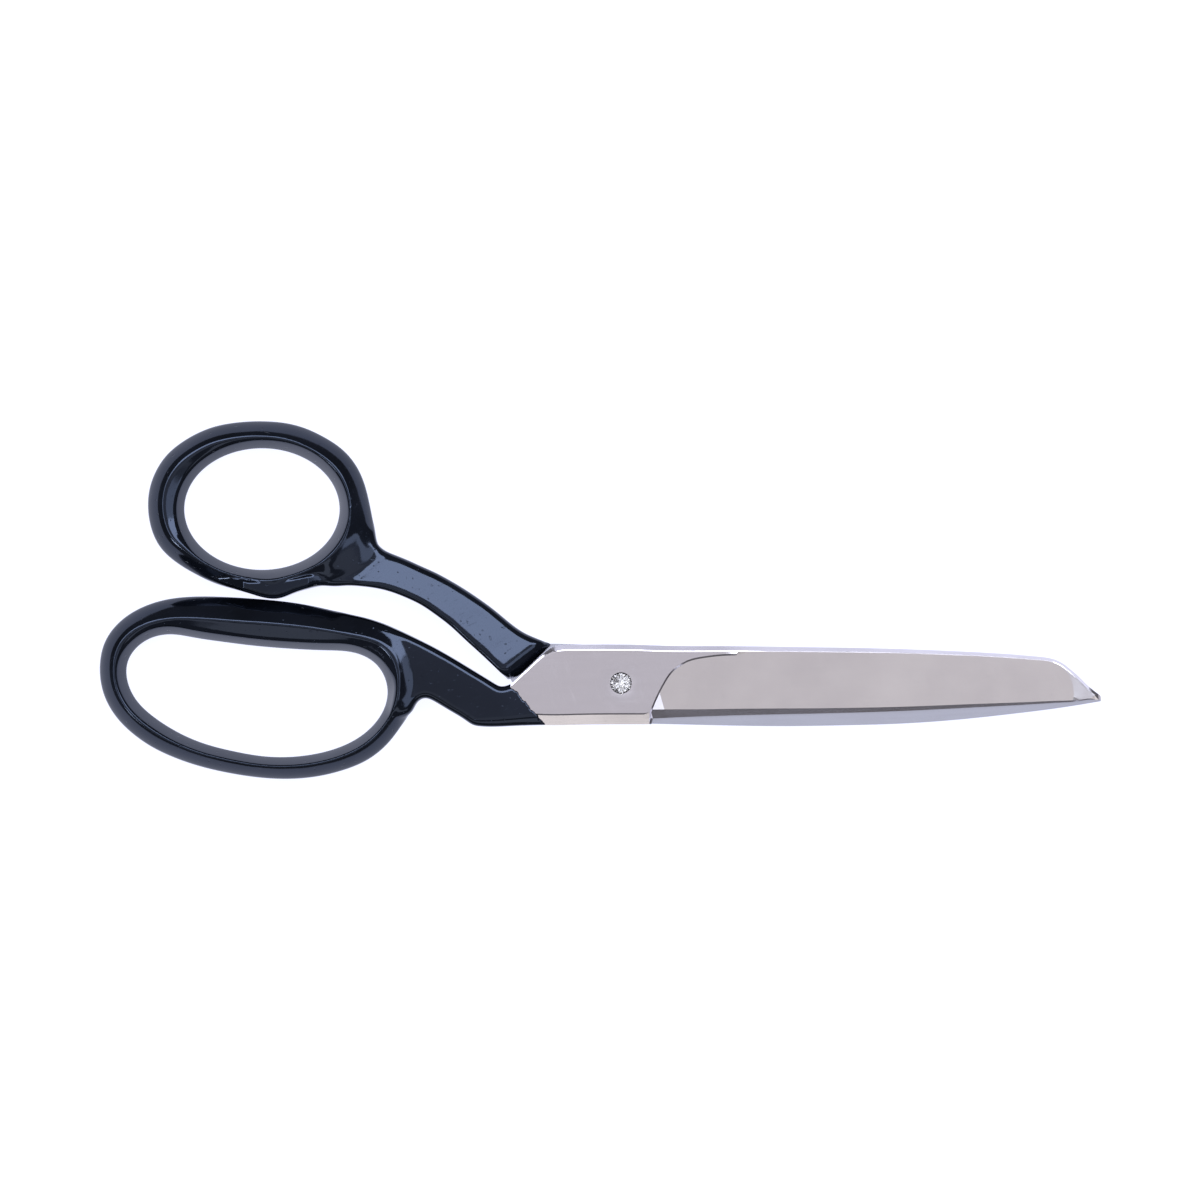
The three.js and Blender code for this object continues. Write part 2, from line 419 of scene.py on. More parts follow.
@dataclass
class Skin:
    """Wraps an even mesh round a solid that is given by a rule.

    Args:
        rule: The solid's rule, negative inside it, in millimetres.
        low: The lowest corner of a box round the solid.
        high: The highest corner of that box.
        step: The size of the mesh's faces.
        passes: How many times the mesh is evened out.
    """

    rule: Rule
    low: Array
    high: Array
    step: float
    passes: int = 4

    EVENING = 0.6
    SETTLES = 3
    LEAST_SLOPE = 0.05
    REACH = 0.02

    def build(self) -> tuple[Array, Array]:
        """Wraps the mesh.

        Returns:
            Its points and its four-sided faces, which point outwards.
        """
        axes = [
            np.arange(low - self.step, high + 2 * self.step, self.step)
            for low, high in zip(self.low, self.high)
        ]
        values = self.rule(*np.meshgrid(*axes, indexing="ij", sparse=True))
        points, faces = self._net(values < 0, values, axes)
        around = self._neighbours(len(points), faces)
        for _ in range(self.passes):
            points = self._settle(points * (1 - self.EVENING) + around(points) * self.EVENING)
        return self._settle(points), faces

    def _net(self, inside: Array, values: Array, axes: list[Array]) -> tuple[Array, Array]:
        """Puts one point in each cell that the surface crosses, and a face across each crossed edge.

        Args:
            inside: Which grid corners are inside the solid.
            values: The rule at the grid corners.
            axes: The grid's coordinates.

        Returns:
            The points and the faces.
        """
        corners = [(i, j, k) for i in (0, 1) for j in (0, 1) for k in (0, 1)]
        shape = tuple(n - 1 for n in inside.shape)
        count = sum(
            inside[tuple(slice(start, start + n) for start, n in zip(corner, shape))].astype(np.int8)
            for corner in corners
        )
        cells = np.argwhere((count > 0) & (count < 8))
        total = np.zeros((len(cells), 3))
        crossings = np.zeros((len(cells), 1))
        for a in corners:
            for axis in range(3):
                if a[axis]:
                    continue
                b = tuple(v + (k == axis) for k, v in enumerate(a))
                va = values[tuple((cells + a).T)]
                vb = values[tuple((cells + b).T)]
                crossed = (va < 0) != (vb < 0)
                t = np.where(crossed, va / np.where(crossed, va - vb, 1), 0)
                place = np.array(a) + t[:, None] * (np.array(b) - np.array(a))
                total += place * crossed[:, None]
                crossings += crossed[:, None]
        low = np.array([axis[0] for axis in axes])
        points = low + (cells + total / crossings) * self.step
        index = np.full(shape, -1)
        index[tuple(cells.T)] = np.arange(len(cells))
        faces = []
        for axis in range(3):
            u, v = (axis + 1) % 3, (axis + 2) % 3
            start = np.take(inside, range(inside.shape[axis] - 1), axis)
            end = np.take(inside, range(1, inside.shape[axis]), axis)
            for here, leaving in (((start & ~end), True), ((~start & end), False)):
                at = np.argwhere(here)
                ring = []
                for du, dv in ((-1, -1), (0, -1), (0, 0), (-1, 0)):
                    cell = at.copy()
                    cell[:, u] += du
                    cell[:, v] += dv
                    ring.append(index[tuple(cell.T)])
                faces.append(np.stack(ring if leaving else ring[::-1], 1))
        return points, np.vstack(faces)

    @staticmethod
    def _neighbours(count: int, faces: Array) -> Callable[[Array], Array]:
        """Gives a function that moves every point to the middle of its neighbours."""
        ends = np.vstack([faces[:, [k, (k + 1) % 4]] for k in range(4)])
        degree = np.bincount(ends[:, 0], minlength=count)[:, None]

        def middle(points: Array) -> Array:
            """The middle of each point's neighbours."""
            sums = [np.bincount(ends[:, 0], points[ends[:, 1], k], count) for k in range(3)]
            return np.stack(sums, 1) / degree

        return middle

    def _settle(self, points: Array) -> Array:
        """Moves points onto the rule's surface, along its slope."""
        for _ in range(self.SETTLES):
            value, slope = self.slope(points)
            move = value[:, None] * slope / np.maximum((slope**2).sum(1), self.LEAST_SLOPE)[:, None]
            points = points - np.clip(move, -self.step, self.step)
        return points

    def slope(self, points: Array) -> tuple[Array, Array]:
        """Reads the rule and its slope at points."""
        value = self.rule(*points.T)
        slope = [
            (self.rule(*(points + shift).T) - self.rule(*(points - shift).T)) / (2 * self.REACH)
            for shift in np.eye(3) * self.REACH
        ]
        return value, np.stack(slope, 1)


# ---------------------------------------------------------------------------------------------
# Reliefs: a plate whose upper side follows a height over the plan
# ---------------------------------------------------------------------------------------------
@dataclass
class Relief:
    """A plate with a flat underside and a shaped top, with mesh edges along every crease.

    Args:
        outline: The plate's closed outline.
        creases: Open paths that the top bends along.
        holes: Closed outlines cut through the plate.
        floor: The height of its underside.
        top: Gives the height of the top at places in plan.
    """

    outline: Array
    creases: Sequence[Array]
    holes: Sequence[Array]
    floor: float
    top: Callable[[Array], Array]

    MERGED_WITHIN = 1e-4
    SLIVER = 1e-7

    def build(self) -> tuple[Array, list[list[int]]]:
        """Builds the closed plate.

        Returns:
            Its points and its faces, which point outwards.
        """
        plan: list[Vector] = []
        edges: list[tuple[int, int]] = []
        loops = [self.outline, *self.holes]
        for number, path in enumerate([*loops, *self.creases]):
            first, last = len(plan), len(plan) + len(path) - 1
            plan += [Vector(p) for p in path]
            edges += [(i, i + 1) for i in range(first, last)]
            if number < len(loops):
                edges.append((last, first))
        flat, _, triangles, *_ = delaunay_2d_cdt(plan, edges, [], 0, self.MERGED_WITHIN)
        places = np.array([tuple(p) for p in flat])
        faces = np.array([list(t) for t in triangles])
        middles = places[faces].mean(1)
        kept = is_inside(self.outline, middles)
        for hole in self.holes:
            kept &= ~is_inside(hole, middles)
        faces = faces[kept]
        a, b, c = places[faces].transpose(1, 0, 2)
        turn = (b[:, 0] - a[:, 0]) * (c[:, 1] - a[:, 1]) - (b[:, 1] - a[:, 1]) * (c[:, 0] - a[:, 0])
        faces, turn = faces[np.abs(turn) > self.SLIVER], turn[np.abs(turn) > self.SLIVER]
        faces[turn < 0] = faces[turn < 0][:, ::-1]
        count = len(places)
        upper = np.column_stack([places, self.top(places)])
        lower = np.column_stack([places, np.full(count, self.floor)])
        sides = self._rim(faces, count)
        used = np.zeros(2 * count, bool)
        everything = [*faces.tolist(), *(faces[:, ::-1] + count).tolist(), *sides]
        for face in everything:
            used[face] = True
        renumber = np.cumsum(used) - 1
        kept_faces = [[int(renumber[i]) for i in face] for face in everything]
        return np.vstack([upper, lower])[used], kept_faces

    @staticmethod
    def _rim(faces: Array, count: int) -> list[list[int]]:
        """Walls along every edge that has a face on one side only."""
        directed = {(int(f[k]), int(f[(k + 1) % 3])) for f in faces for k in range(3)}
        return [[b, a, a + count, b + count] for a, b in directed if (b, a) not in directed]


# ---------------------------------------------------------------------------------------------
# Handles
# ---------------------------------------------------------------------------------------------
@dataclass
class EnamelEnd:
    """Where a handle's enamel stops at the ricasso.

    Args:
        heel: The end of the line in the crotch between the halves.
        foot: The end of the line on the outside.
        shoulder: The two ends of the line where the shoulder stands over the other blade.
        blade_side: +1 where the blade leaves the shank's upper half, -1 where it leaves the lower half.
    """

    heel: Point
    foot: Point
    shoulder: tuple[Point, Point]
    blade_side: int

    # How far the shoulder over the other blade leans back, per millimetre of height.
    LEAN = 0.54
    # The brushed edge's waves, each as its size, rate and phase, and how far they run askew.
    WAVES = ((0.1, 1.9, 0.0), (0.07, 4.3, 1.0))
    WAVE_SKEW = 0.6

    @staticmethod
    def _across(start: Point, end: Point) -> Array:
        """The direction across a line, towards the tips."""
        run = np.array(end) - np.array(start)
        run /= np.linalg.norm(run)
        return np.array((run[1], -run[0])) * (1 if run[1] > 0 else -1)

    def _past(self, start: Point, end: Point, x: Array, y: Array) -> Array:
        """Measures how far places lie past a line, towards the tips."""
        across = self._across(start, end)
        return (x - start[0]) * across[0] + (y - start[1]) * across[1]

    def line(self, past: float) -> Array:
        """The line that lies a distance past the enamel's edge on the blade."""
        return np.linspace(self.heel, self.foot, 24) + self._across(self.heel, self.foot) * past

    def past(self, x: Array, y: Array) -> Array:
        """Measures how far places lie past the enamel's edge on the blade."""
        return self._past(self.heel, self.foot, x, y)

    def rule(self, x: Array, y: Array, z: Array) -> Array:
        """The rule of the end: a brushed, wavy edge on the blade, and a leaning shoulder beside it."""
        wavy = self.past(x, y)
        along = x * self.WAVE_SKEW - y
        for size, rate, phase in self.WAVES:
            wavy = wavy + size * np.sin(rate * along + phase)
        leaning = self._past(*self.shoulder, x, y) + self.LEAN * np.maximum(-z * self.blade_side, 0)
        return np.where(z * self.blade_side > 0, wavy, leaning / math.hypot(1, self.LEAN))


@dataclass
class Handle:
    """A bow and shank in black enamel.

    Args:
        hole: Outline of the finger opening.
        bow: Outline of the bow.
        ridge: The bow's highest line, between its inner and outer faces.
        upper: The shank's upper edge, from the ricasso to the bow.
        lower: The shank's lower edge, from the bow back to the ricasso.
        end: Where the enamel stops.
        shank_top: Height of the middle of the shank's face.
        roll: How fast the shank's face falls towards its upper edge.
        bump: Outline of a flat bump on the bow's edge, if it has one.
        tuck: A place where the shank's face starts to dive under the bow, and the way it dives.
        foot_bevel: True where the shank's lower edge carries on the ricasso's bevel.
    """

    hole: Sequence[Point]
    bow: Sequence[Point]
    ridge: Sequence[Point]
    upper: Sequence[Point]
    lower: Sequence[Point]
    end: EnamelEnd
    shank_top: float
    roll: float
    tuck: tuple[Point, Point]
    bump: Sequence[Point] = ()
    foot_bevel: bool = False

    # Heights of the bow's ridge, of its face at the finger opening and at the rim, and of the bump.
    RIDGE_TOP = 4.76
    HOLE_TOP = 2.9
    RIM_TOP = 2.2
    BUMP_TOP = 4.2
    # The bow's faces: their slope's length, their rise past the ridge, and the ridge's rounding.
    FACE_SLOPE = 1.15
    FACE_RISE = 0.25
    RIDGE_ROUND = 0.35
    LEAST_WIDTH = 0.1
    # The bow's walls: how fast they lean in with depth, how much faster each millimetre, and roundings.
    OUTER_WALL = (0.45, 0.09)
    INNER_WALL = (0.42, 0.02)
    OUTER_ROUND = 1.0
    INNER_ROUND = 0.4
    MIDDLE_ROUND = 0.15
    # The shank's rounding, the steepness and easing of its dive, and how it joins the bow.
    SHANK_ROUND = 1.7
    DIVE = 0.3
    DIVE_ROUND = 3.0
    HOLE_CLEARANCE = 1.2
    HOLE_ROUND = 1.0
    JOIN_ROUND = 3.0
    # The foot bevel: a corner, its height there, its slopes across and along, and its roundings.
    FOOT_CORNER = (-15.0, -8.75)
    FOOT_HEIGHT = 2.9
    FOOT_SLOPES = (0.37, 0.035)
    FOOT_LENGTH = 1.07
    FOOT_ROUND = 0.25
    # The bump: the half length of its flat, its fall past that, its rim's height and slope.
    BUMP_FLAT = 6.5
    BUMP_FALL = 0.34
    BUMP_RIM = 3.45
    BUMP_SLOPE = 0.85
    BUMP_ROUNDS = (0.15, 0.5, 1.2)
    # The whole handle's outline: its fillet in the crotch, its edge's rounding, and its two ends'.
    CROTCH_ROUND = 0.6
    EDGE_ROUND = 0.3
    END_ROUND = 0.25
    SHOULDER_ROUND = 1.8
    # The box round it.
    MARGIN = 0.6
    END_MARGIN = 3.0
    HALF_HEIGHT = 5.2

    def __post_init__(self) -> None:
        """Samples the outlines."""
        bow, upper, lower = smooth_loop(self.bow), smooth_path(self.upper), smooth_path(self.lower)
        drawn = np.vstack([bow, upper, lower])
        self.low = np.append(drawn.min(0) - self.MARGIN, -self.HALF_HEIGHT)
        self.high = np.append(drawn.max(0) + (self.END_MARGIN, self.MARGIN), self.HALF_HEIGHT)
        past_end = [(x + self.END_MARGIN, y) for x, y in (self.lower[-1], self.upper[0])]
        shank = np.vstack([upper, lower, np.array(past_end)])
        area = (self.low[:2], self.high[:2], 0.25)
        self.in_bow = PlanField.of_loop(bow, *area)
        self.in_hole = PlanField.of_loop(smooth_loop(self.hole), *area)
        self.in_ridge = PlanField.of_loop(smooth_loop(self.ridge), *area)
        self.in_shank = PlanField.of_loop(shank, *area)
        self.across = PlanField.between(upper, lower, *area)
        self.in_bump = PlanField.of_loop(np.array(self.bump), *area) if self.bump else None

    def _face(self, low: float, ahead: Array, behind: Array) -> Array:
        """The height of one of the bow's faces.

        Args:
            low: Its height at its low edge.
            ahead: How far places lie from the ridge, towards that edge.
            behind: How far they lie from that edge, towards the ridge.

        Returns:
            The heights.
        """
        width = np.maximum(ahead, 0) + np.maximum(behind, 0)
        share = np.maximum(ahead, 0) / np.maximum(width, self.LEAST_WIDTH)
        rise = self.FACE_RISE * np.maximum(-ahead, 0)
        return self.RIDGE_TOP - (self.RIDGE_TOP - low) * share + rise

    def ring(self, x: Array, y: Array, z: Array) -> tuple[Array, Array]:
        """The bow's rule, and how far places lie outside the finger opening."""
        in_bow, past_hole, in_ridge = self.in_bow.at(x, y), -self.in_hole.at(x, y), self.in_ridge.at(x, y)
        inner_top = self._face(self.HOLE_TOP, in_ridge, past_hole)
        outer_top = self._face(self.RIM_TOP, -in_ridge, in_bow)
        top = soft_min(inner_top, outer_top, self.RIDGE_ROUND)
        depth = np.hypot(z, self.MIDDLE_ROUND) - self.MIDDLE_ROUND
        outside, inside = (
            (lean + bend * depth) * depth for lean, bend in (self.OUTER_WALL, self.INNER_WALL)
        )
        rule = soft_max((np.abs(z) - top) / self.FACE_SLOPE, outside - in_bow, self.OUTER_ROUND)
        return soft_max(rule, inside - past_hole, self.INNER_ROUND), past_hole

    def shank(self, x: Array, y: Array, z: Array) -> Array:
        """The shank's rule."""
        (x0, y0), (dx, dy) = self.tuck
        along = (x - x0) * dx + (y - y0) * dy
        dive = self.DIVE * soft_max(along, np.zeros_like(x), self.DIVE_ROUND)
        top = self.shank_top - self.roll * self.across.at(x, y) - dive
        rule = soft_max(np.abs(z) - top, -self.in_shank.at(x, y), self.SHANK_ROUND)
        if self.foot_bevel:
            (corner_x, corner_y), (across, along) = self.FOOT_CORNER, self.FOOT_SLOPES
            bevel = np.abs(z) - self.FOOT_HEIGHT - across * (y - corner_y) - along * (corner_x - x)
            rule = soft_max(rule, bevel / self.FOOT_LENGTH, self.FOOT_ROUND)
        return rule

    def with_bump(self, whole: Array, x: Array, y: Array, z: Array) -> Array:
        """The rule of the handle with its bump, from the rule of the handle without it."""
        in_bow = self.in_bow.at(x, y)
        top_round, side_round, rim_round = self.BUMP_ROUNDS
        fall = self.BUMP_FALL * np.maximum(np.abs(x - self.bump[0][0]) - self.BUMP_FLAT, 0)
        rim = self.BUMP_RIM + self.BUMP_SLOPE * in_bow
        plate = np.abs(z) - soft_min(np.full(in_bow.shape, self.BUMP_TOP), rim, top_round) + fall
        bump = soft_max(soft_max(plate, -self.in_bump.at(x, y), side_round), -in_bow, rim_round)
        return soft_min(whole, bump, side_round)

    def rule(self, x: Array, y: Array, z: Array) -> Array:
        """The whole handle's rule, negative inside it."""
        ring, past_hole = self.ring(x, y, z)
        shank = soft_max(self.shank(x, y, z), self.HOLE_CLEARANCE - past_hole, self.HOLE_ROUND)
        whole = soft_min(ring, shank, self.JOIN_ROUND)
        if self.in_bump is not None:
            whole = self.with_bump(whole, x, y, z)
        outline = soft_max(self.in_bow.at(x, y), self.in_shank.at(x, y), self.CROTCH_ROUND)
        whole = soft_max(whole, -outline, self.EDGE_ROUND)
        rounding = np.where(z * self.end.blade_side > 0, self.END_ROUND, self.SHOULDER_ROUND)
        return soft_max(whole, self.end.rule(x, y, z), rounding)

    def build(self) -> tuple[Array, Array]:
        """Wraps the handle's mesh."""
        return Skin(self.rule, self.low, self.high, 0.3).build()


FINGER_HANDLE = dict(
    hole=[
        (-47.84, -2.34), (-50.0, 3.6), (-54.5, 6.1), (-60.44, 6.63), (-66.73, 6.9), (-75.97, 7.66),
        (-82.2, 8.45), (-87.57, 9.26), (-92.3, 9.9), (-97.4, 8.6), (-101.02, 4.37), (-100.06, -2.34),
        (-95.08, -7.46), (-90.09, -10.49), (-85.9, -12.27), (-79.12, -14.07), (-72.55, -15.11),
        (-68.54, -15.21), (-63.58, -14.73), (-57.38, -13.07), (-51.07, -9.01),
    ],
    bow=[
        (-50.1, 12.6), (-56.1, 14.2), (-65.2, 16.2), (-72, 17.05), (-79.5, 17.6), (-87.6, 17.75),
        (-92.4, 17.3), (-97.6, 15.8), (-102.4, 12.9), (-105.8, 8.5), (-106.9, 3.1), (-106.1, -2.3),
        (-103.4, -7.2), (-99.6, -10.9), (-95.5, -13.6), (-91.6, -15.4), (-88, -16.7), (-81.8, -18.3),
        (-76, -19.3), (-69.6, -19.8), (-61.7, -19.2), (-57.2, -18.1), (-52.1, -16.0), (-47.8, -12.6),
        (-44.3, -7.9), (-42.0, -3.5), (-41.4, 1), (-42.3, 5.4), (-45.2, 9.9),
    ],
    ridge=[
        (-101.9, 11.2), (-97.3, 12.9), (-90.5, 13.5), (-81.3, 12.9), (-69.9, 12.1), (-58.4, 11.0),
        (-52.0, 10.0), (-48.6, 8.7), (-46.5, 6.3), (-45.4, 2.7), (-45.2, -0.9), (-45.9, -5.0),
        (-47.9, -8.7), (-51.6, -12.4), (-56.1, -15.1), (-63.0, -17.3), (-69.9, -17.9), (-76.7, -17.3),
        (-83.6, -15.7), (-90.5, -13.2), (-96, -10.4), (-101, -6.2), (-104, -1.8), (-105.0, 2.7),
        (-104.5, 7.3),
    ],
    upper=[
        (-22.6, -0.15), (-23.4, -0.45), (-24.5, -0.6), (-26, 0.07), (-29, 1.92), (-32, 3.76), (-35, 5.56),
        (-38, 7.25), (-41, 8.78), (-44, 10.2), (-47, 11.45), (-50, 12.45), (-53, 13.2), (-56.5, 13.6),
    ],
    lower=[
        (-55, 11.2), (-50, 9.9), (-46.6, 7), (-44.2, 1.5), (-44.6, -6.5), (-43.2, -6.2), (-41.6, -4.0),
        (-40.3, -3.25), (-38, -3.98), (-35, -5.77), (-32, -7.6), (-30.1, -8.75), (-28.8, -8.98),
        (-22, -8.9), (-15.3, -8.7),
    ],
    shank_top=3.7,
    roll=0.0,
    tuck=((-49.0, 0.0), (-1.0, 0.0)),
    foot_bevel=True,
)
THUMB_HANDLE = dict(
    hole=[
        (-73.57 + 15.9 * math.cos(turn * math.pi / 8), 35.6 + 12.43 * math.sin(turn * math.pi / 8))
        for turn in range(16)
    ],
    bow=[
        (-51.2, 35.6), (-53.3, 42.9), (-55.3, 46.1), (-57.9, 48.6), (-60.9, 50.5), (-64, 52), (-67.1, 53),
        (-73.4, 53.7), (-79.9, 53.3), (-83.3, 52.6), (-86.7, 51.3), (-90, 49.4), (-93, 46.9),
        (-95.3, 43.6), (-96.7, 39.7), (-97.0, 35.6), (-96.3, 31.5), (-94.6, 27.9), (-91.7, 25),
        (-88.5, 22.9), (-85.4, 21.3), (-82.4, 20.05), (-79, 19.05), (-75.5, 18.05), (-73.2, 17.4),
        (-72.2, 17.22), (-70.0, 17.22), (-68.9, 17.5), (-67, 18.25), (-64, 19.2), (-60.5, 19.95),
        (-56.5, 20.3), (-52.8, 22.4), (-50.6, 25.6), (-50.1, 28.5), (-50.5, 32),
    ],
    ridge=[
        (-74.7, 52.1), (-68.6, 50.9), (-62.8, 48.0), (-58.4, 44.7), (-56.2, 41.3), (-55.2, 37.5),
        (-55.5, 33.4), (-56.9, 29.7), (-60.1, 25.8), (-64.5, 22.9), (-69.6, 21.4), (-74.7, 21.3),
        (-79.8, 22.3), (-84.9, 24.2), (-89.3, 26.5), (-93.1, 29.5), (-95.1, 32.8), (-95.8, 36.4),
        (-95.4, 40.6), (-93.9, 44.0), (-91.0, 47.2), (-86.6, 50.0), (-80.9, 51.7),
    ],
    upper=[
        (-15.4, 8.45), (-17, 9.1), (-20, 10.48), (-23, 12.63), (-26, 15.1), (-29, 17.3), (-32, 19.3),
        (-35, 21.1), (-38, 22.7), (-41, 24.05), (-44, 25.4), (-47, 26.6), (-49.4, 28.0), (-50.8, 30.6),
    ],
    lower=[
        (-53.0, 30.6), (-55.3, 26.6), (-59, 22.6), (-61.5, 20.5), (-59.5, 19.85), (-56.5, 19.85),
        (-53, 19.65), (-50, 19.25), (-47, 18.5), (-44, 17.35), (-41, 15.9), (-38, 13.9), (-35, 11.6),
        (-32, 8.84), (-29, 6.12), (-26, 3.3), (-23.1, 0.5),
    ],
    bump=[
        (-70.5, 15.5), (-60, 16), (-59.5, 22.8), (-64.5, 21.9), (-70, 20.8), (-76, 20.8), (-81, 21.9),
        (-86, 23.8), (-90, 26), (-90, 16),
    ],
    shank_top=3.45,
    roll=0.17,
    tuck=((-49.5, 25.0), (-0.8, 0.6)),
)


# ---------------------------------------------------------------------------------------------
# Blades
# ---------------------------------------------------------------------------------------------
@dataclass
class Blade:
    """A ground blade with its ricasso, drawn face up.

    Args:
        back: The ricasso's free back edge, towards the spine.
        spine: The spine, from the back edge to the tip.
        edge: The cutting edge, from the tip to the choil.
        foot: The ricasso's lower edge, from the choil to the enamel.
        tang: The hidden outline inside the enamel, back to the back edge.
        end: The enamel's end line, as drawn with this blade.
        pivot_radius: Radius of the hole for the screw.
        tip_line: Start of the extra grinding at the tip, if it has one.
        choil_line: Start of the small facet beside the choil, if it has one.
    """

    back: Sequence[Point]
    spine: Sequence[Point]
    edge: Sequence[Point]
    foot: Sequence[Point]
    tang: Sequence[Point]
    end: EnamelEnd
    pivot_radius: float
    tip_line: Sequence[Point] = ()
    choil_line: Sequence[Point] = ()

    FLOOR = 0.1
    LEAST_THICKNESS = 0.2
    RICASSO_TOP = 3.6
    # The ground face: its height where the run-out ends, and its rises along and across the blade.
    GROUND_TOP = 3.35
    GROUND_RISES = (-0.018, 0.12)
    # The run-out of the grinding: its upper edge, its width, and how it fades into the spine.
    RUNOUT = [
        (5.85, -6.0), (7.4, -2.35), (8.8, 0.3), (10.35, 2.5), (11.96, 3.76), (13.6, 4.65), (16.8, 5.43),
        (20.2, 5.85), (23.5, 6.0),
    ]
    RUNOUT_BAND = 0.35
    FADE_REACH = 6
    FADE_LEAD = 3
    FADE_RUN = 9
    # Places along the blade, and the widths there of the spine's round, its facet and the edge's bevel.
    SPINE_ROUND = ((-16.3, -13.4, 10.0, 90.0), (0.05, 1.0, 1.0, 0.55))
    SPINE_FACET = ((-16.0, -14.0, 10.0, 90.0), (0.26, 0.16, 0.16, 0.15))
    EDGE_BEVEL = ((6.0, 16.0, 40.0, 70.0, 90.0, 98.0), (1.9, 1.5, 1.1, 0.75, 0.4, 0.2))
    ROUND_SLOPE = 0.85
    FACET_SLOPE = 0.2
    EDGE_SLOPE = 0.75
    TIP_SLOPE = 0.09
    # The ricasso's foot: a chamfer with a groove inside it.
    FOOT_WIDTH = 2.0
    FOOT_SLOPE = 0.37
    GROOVE_WIDTH = 0.3
    GROOVE_SLOPE = 0.8
    CHOIL_SLOPE = 0.26
    CHOIL_WIDTH = 3
    # The shallow dish that the screw's end wears round itself.
    DISH_RADIUS = 3.9
    DISH_RUN = 1.8
    DISH_DEPTH = 0.02
    DISH_CREASES = (2.5, 2.9, 3.3)
    # The step down under the enamel: how far in it starts, its width and its depth.
    STEP_FROM = 0.4
    STEP_WIDTH = 0.3
    STEP_DEPTH = 0.55
    # Creases: where they stop near the tip, how far two of them run on, and their least clearance.
    CREASES_TO = 97.2
    RUNOUT_TAIL = 2.4
    BAND_TAIL = 1.2
    CLEARANCE = 0.93
    HOLE_COLLAR = 0.35

    def __post_init__(self) -> None:
        """Samples the outline's parts."""
        back, spine = smooth_path(self.back), smooth_path([self.back[-1], *self.spine])
        self.spine_path = np.vstack([back[:-1], spine])
        self.edge_path = smooth_path([self.spine[-1], *self.edge], 0.8)
        self.foot_path = smooth_path(self.foot, 0.8)
        self.outline = np.vstack([
            self.spine_path[:-1], self.edge_path, self.foot_path, np.array(self.tang),
        ])
        self.runout = smooth_path(self.RUNOUT)
        self.ground_from, self.ground_to = self.runout[0], self.runout[-1]

    def spine_widths(self, x: Array) -> tuple[Array, Array]:
        """How far the spine's round, and the bright facet beside it, reach in from the spine."""
        inner = np.interp(x, *self.SPINE_ROUND)
        return inner, inner + np.interp(x, *self.SPINE_FACET)

    def ground(self, places: Array) -> Array:
        """Height of the ground face."""
        x, y = places.T
        along, across = self.GROUND_RISES
        height = self.GROUND_TOP + along * (x - self.ground_to[0]) + across * (y - self.ground_to[1])
        if self.tip_line:
            line = np.array(self.tip_line)
            past = x > np.interp(-y, -line[:, 1], line[:, 0])
            height -= self.TIP_SLOPE * past * distance_to(smooth_path(self.tip_line), places, closed=False)
        return height

    def ground_share(self, places: Array) -> Array:
        """How far places have left the ricasso for the ground face, from zero to one."""
        x, y = places.T
        (x0, y0), (x1, y1) = self.ground_from, self.ground_to
        under = (x > x0) & (y < np.interp(x, self.runout[:, 0], self.runout[:, 1]))
        gap = distance_to(self.runout, places, closed=False)
        share = np.where(under, np.clip(gap / self.RUNOUT_BAND, 0, 1), 0)
        fade = np.clip((x - x1 + self.FADE_LEAD) / self.FADE_RUN, 0, 1)
        share = np.where((y > y1) & (x > x1 - self.FADE_REACH), fade, share)
        return np.where((y <= y0) & (x > x0), np.clip((x - x0) / self.RUNOUT_BAND, 0, 1), share)

    def top(self, places: Array) -> Array:
        """Height of the blade's face at places in plan.

        Args:
            places: The places, one a row.

        Returns:
            Their heights.
        """
        x, y = places.T
        share = self.ground_share(places)
        height = (1 - share) * self.RICASSO_TOP + share * np.minimum(self.ground(places), self.RICASSO_TOP)
        inner, outer = self.spine_widths(x)
        from_spine = distance_to(self.spine_path, places, closed=False)
        round_slope = self.ROUND_SLOPE + self.FACET_SLOPE * share
        height -= self.FACET_SLOPE * np.maximum(outer - from_spine, 0)
        height -= round_slope * np.maximum(inner - from_spine, 0)
        from_foot = distance_to(self.foot_path, places, closed=False)
        chamfer = self.FOOT_SLOPE * np.maximum(self.FOOT_WIDTH - from_foot, 0)
        in_groove = np.clip(self.FOOT_WIDTH + self.GROOVE_WIDTH - from_foot, 0, self.GROOVE_WIDTH)
        height -= (1 - share) * (chamfer + self.GROOVE_SLOPE * in_groove)
        if self.choil_line:
            (ax, ay), (bx, by) = self.choil_line
            before = ((y - ay) * (bx - ax) - (x - ax) * (by - ay)) / math.hypot(bx - ax, by - ay)
            height += self.CHOIL_SLOPE * share * np.clip(before, 0, self.CHOIL_WIDTH) * (y < by)
        from_edge = distance_to(self.edge_path, places, closed=False)
        bevel = np.maximum(np.interp(x, *self.EDGE_BEVEL) - from_edge, 0)
        height -= self.EDGE_SLOPE * share * bevel
        height -= self.DISH_DEPTH * np.clip((self.DISH_RADIUS - np.hypot(x, y)) / self.DISH_RUN, 0, 1) ** 2
        under_enamel = -self.end.past(x, y) - self.STEP_FROM
        height -= self.STEP_DEPTH * np.clip(under_enamel / self.STEP_WIDTH, 0, 1)
        return np.maximum(height, self.FLOOR + self.LEAST_THICKNESS)

    def inset(self, path: Array, distance: Array) -> Array:
        """A path moved to its right by a distance, keeping what stays clear of the outline."""
        run = np.gradient(path, axis=0)
        run /= np.linalg.norm(run, axis=1)[:, None]
        moved = path + np.column_stack([run[:, 1], -run[:, 0]]) * np.asarray(distance)[..., None]
        clear = distance_to(self.outline, moved, closed=True) > np.asarray(distance) * self.CLEARANCE
        return moved[clear & is_inside(self.outline, moved)]

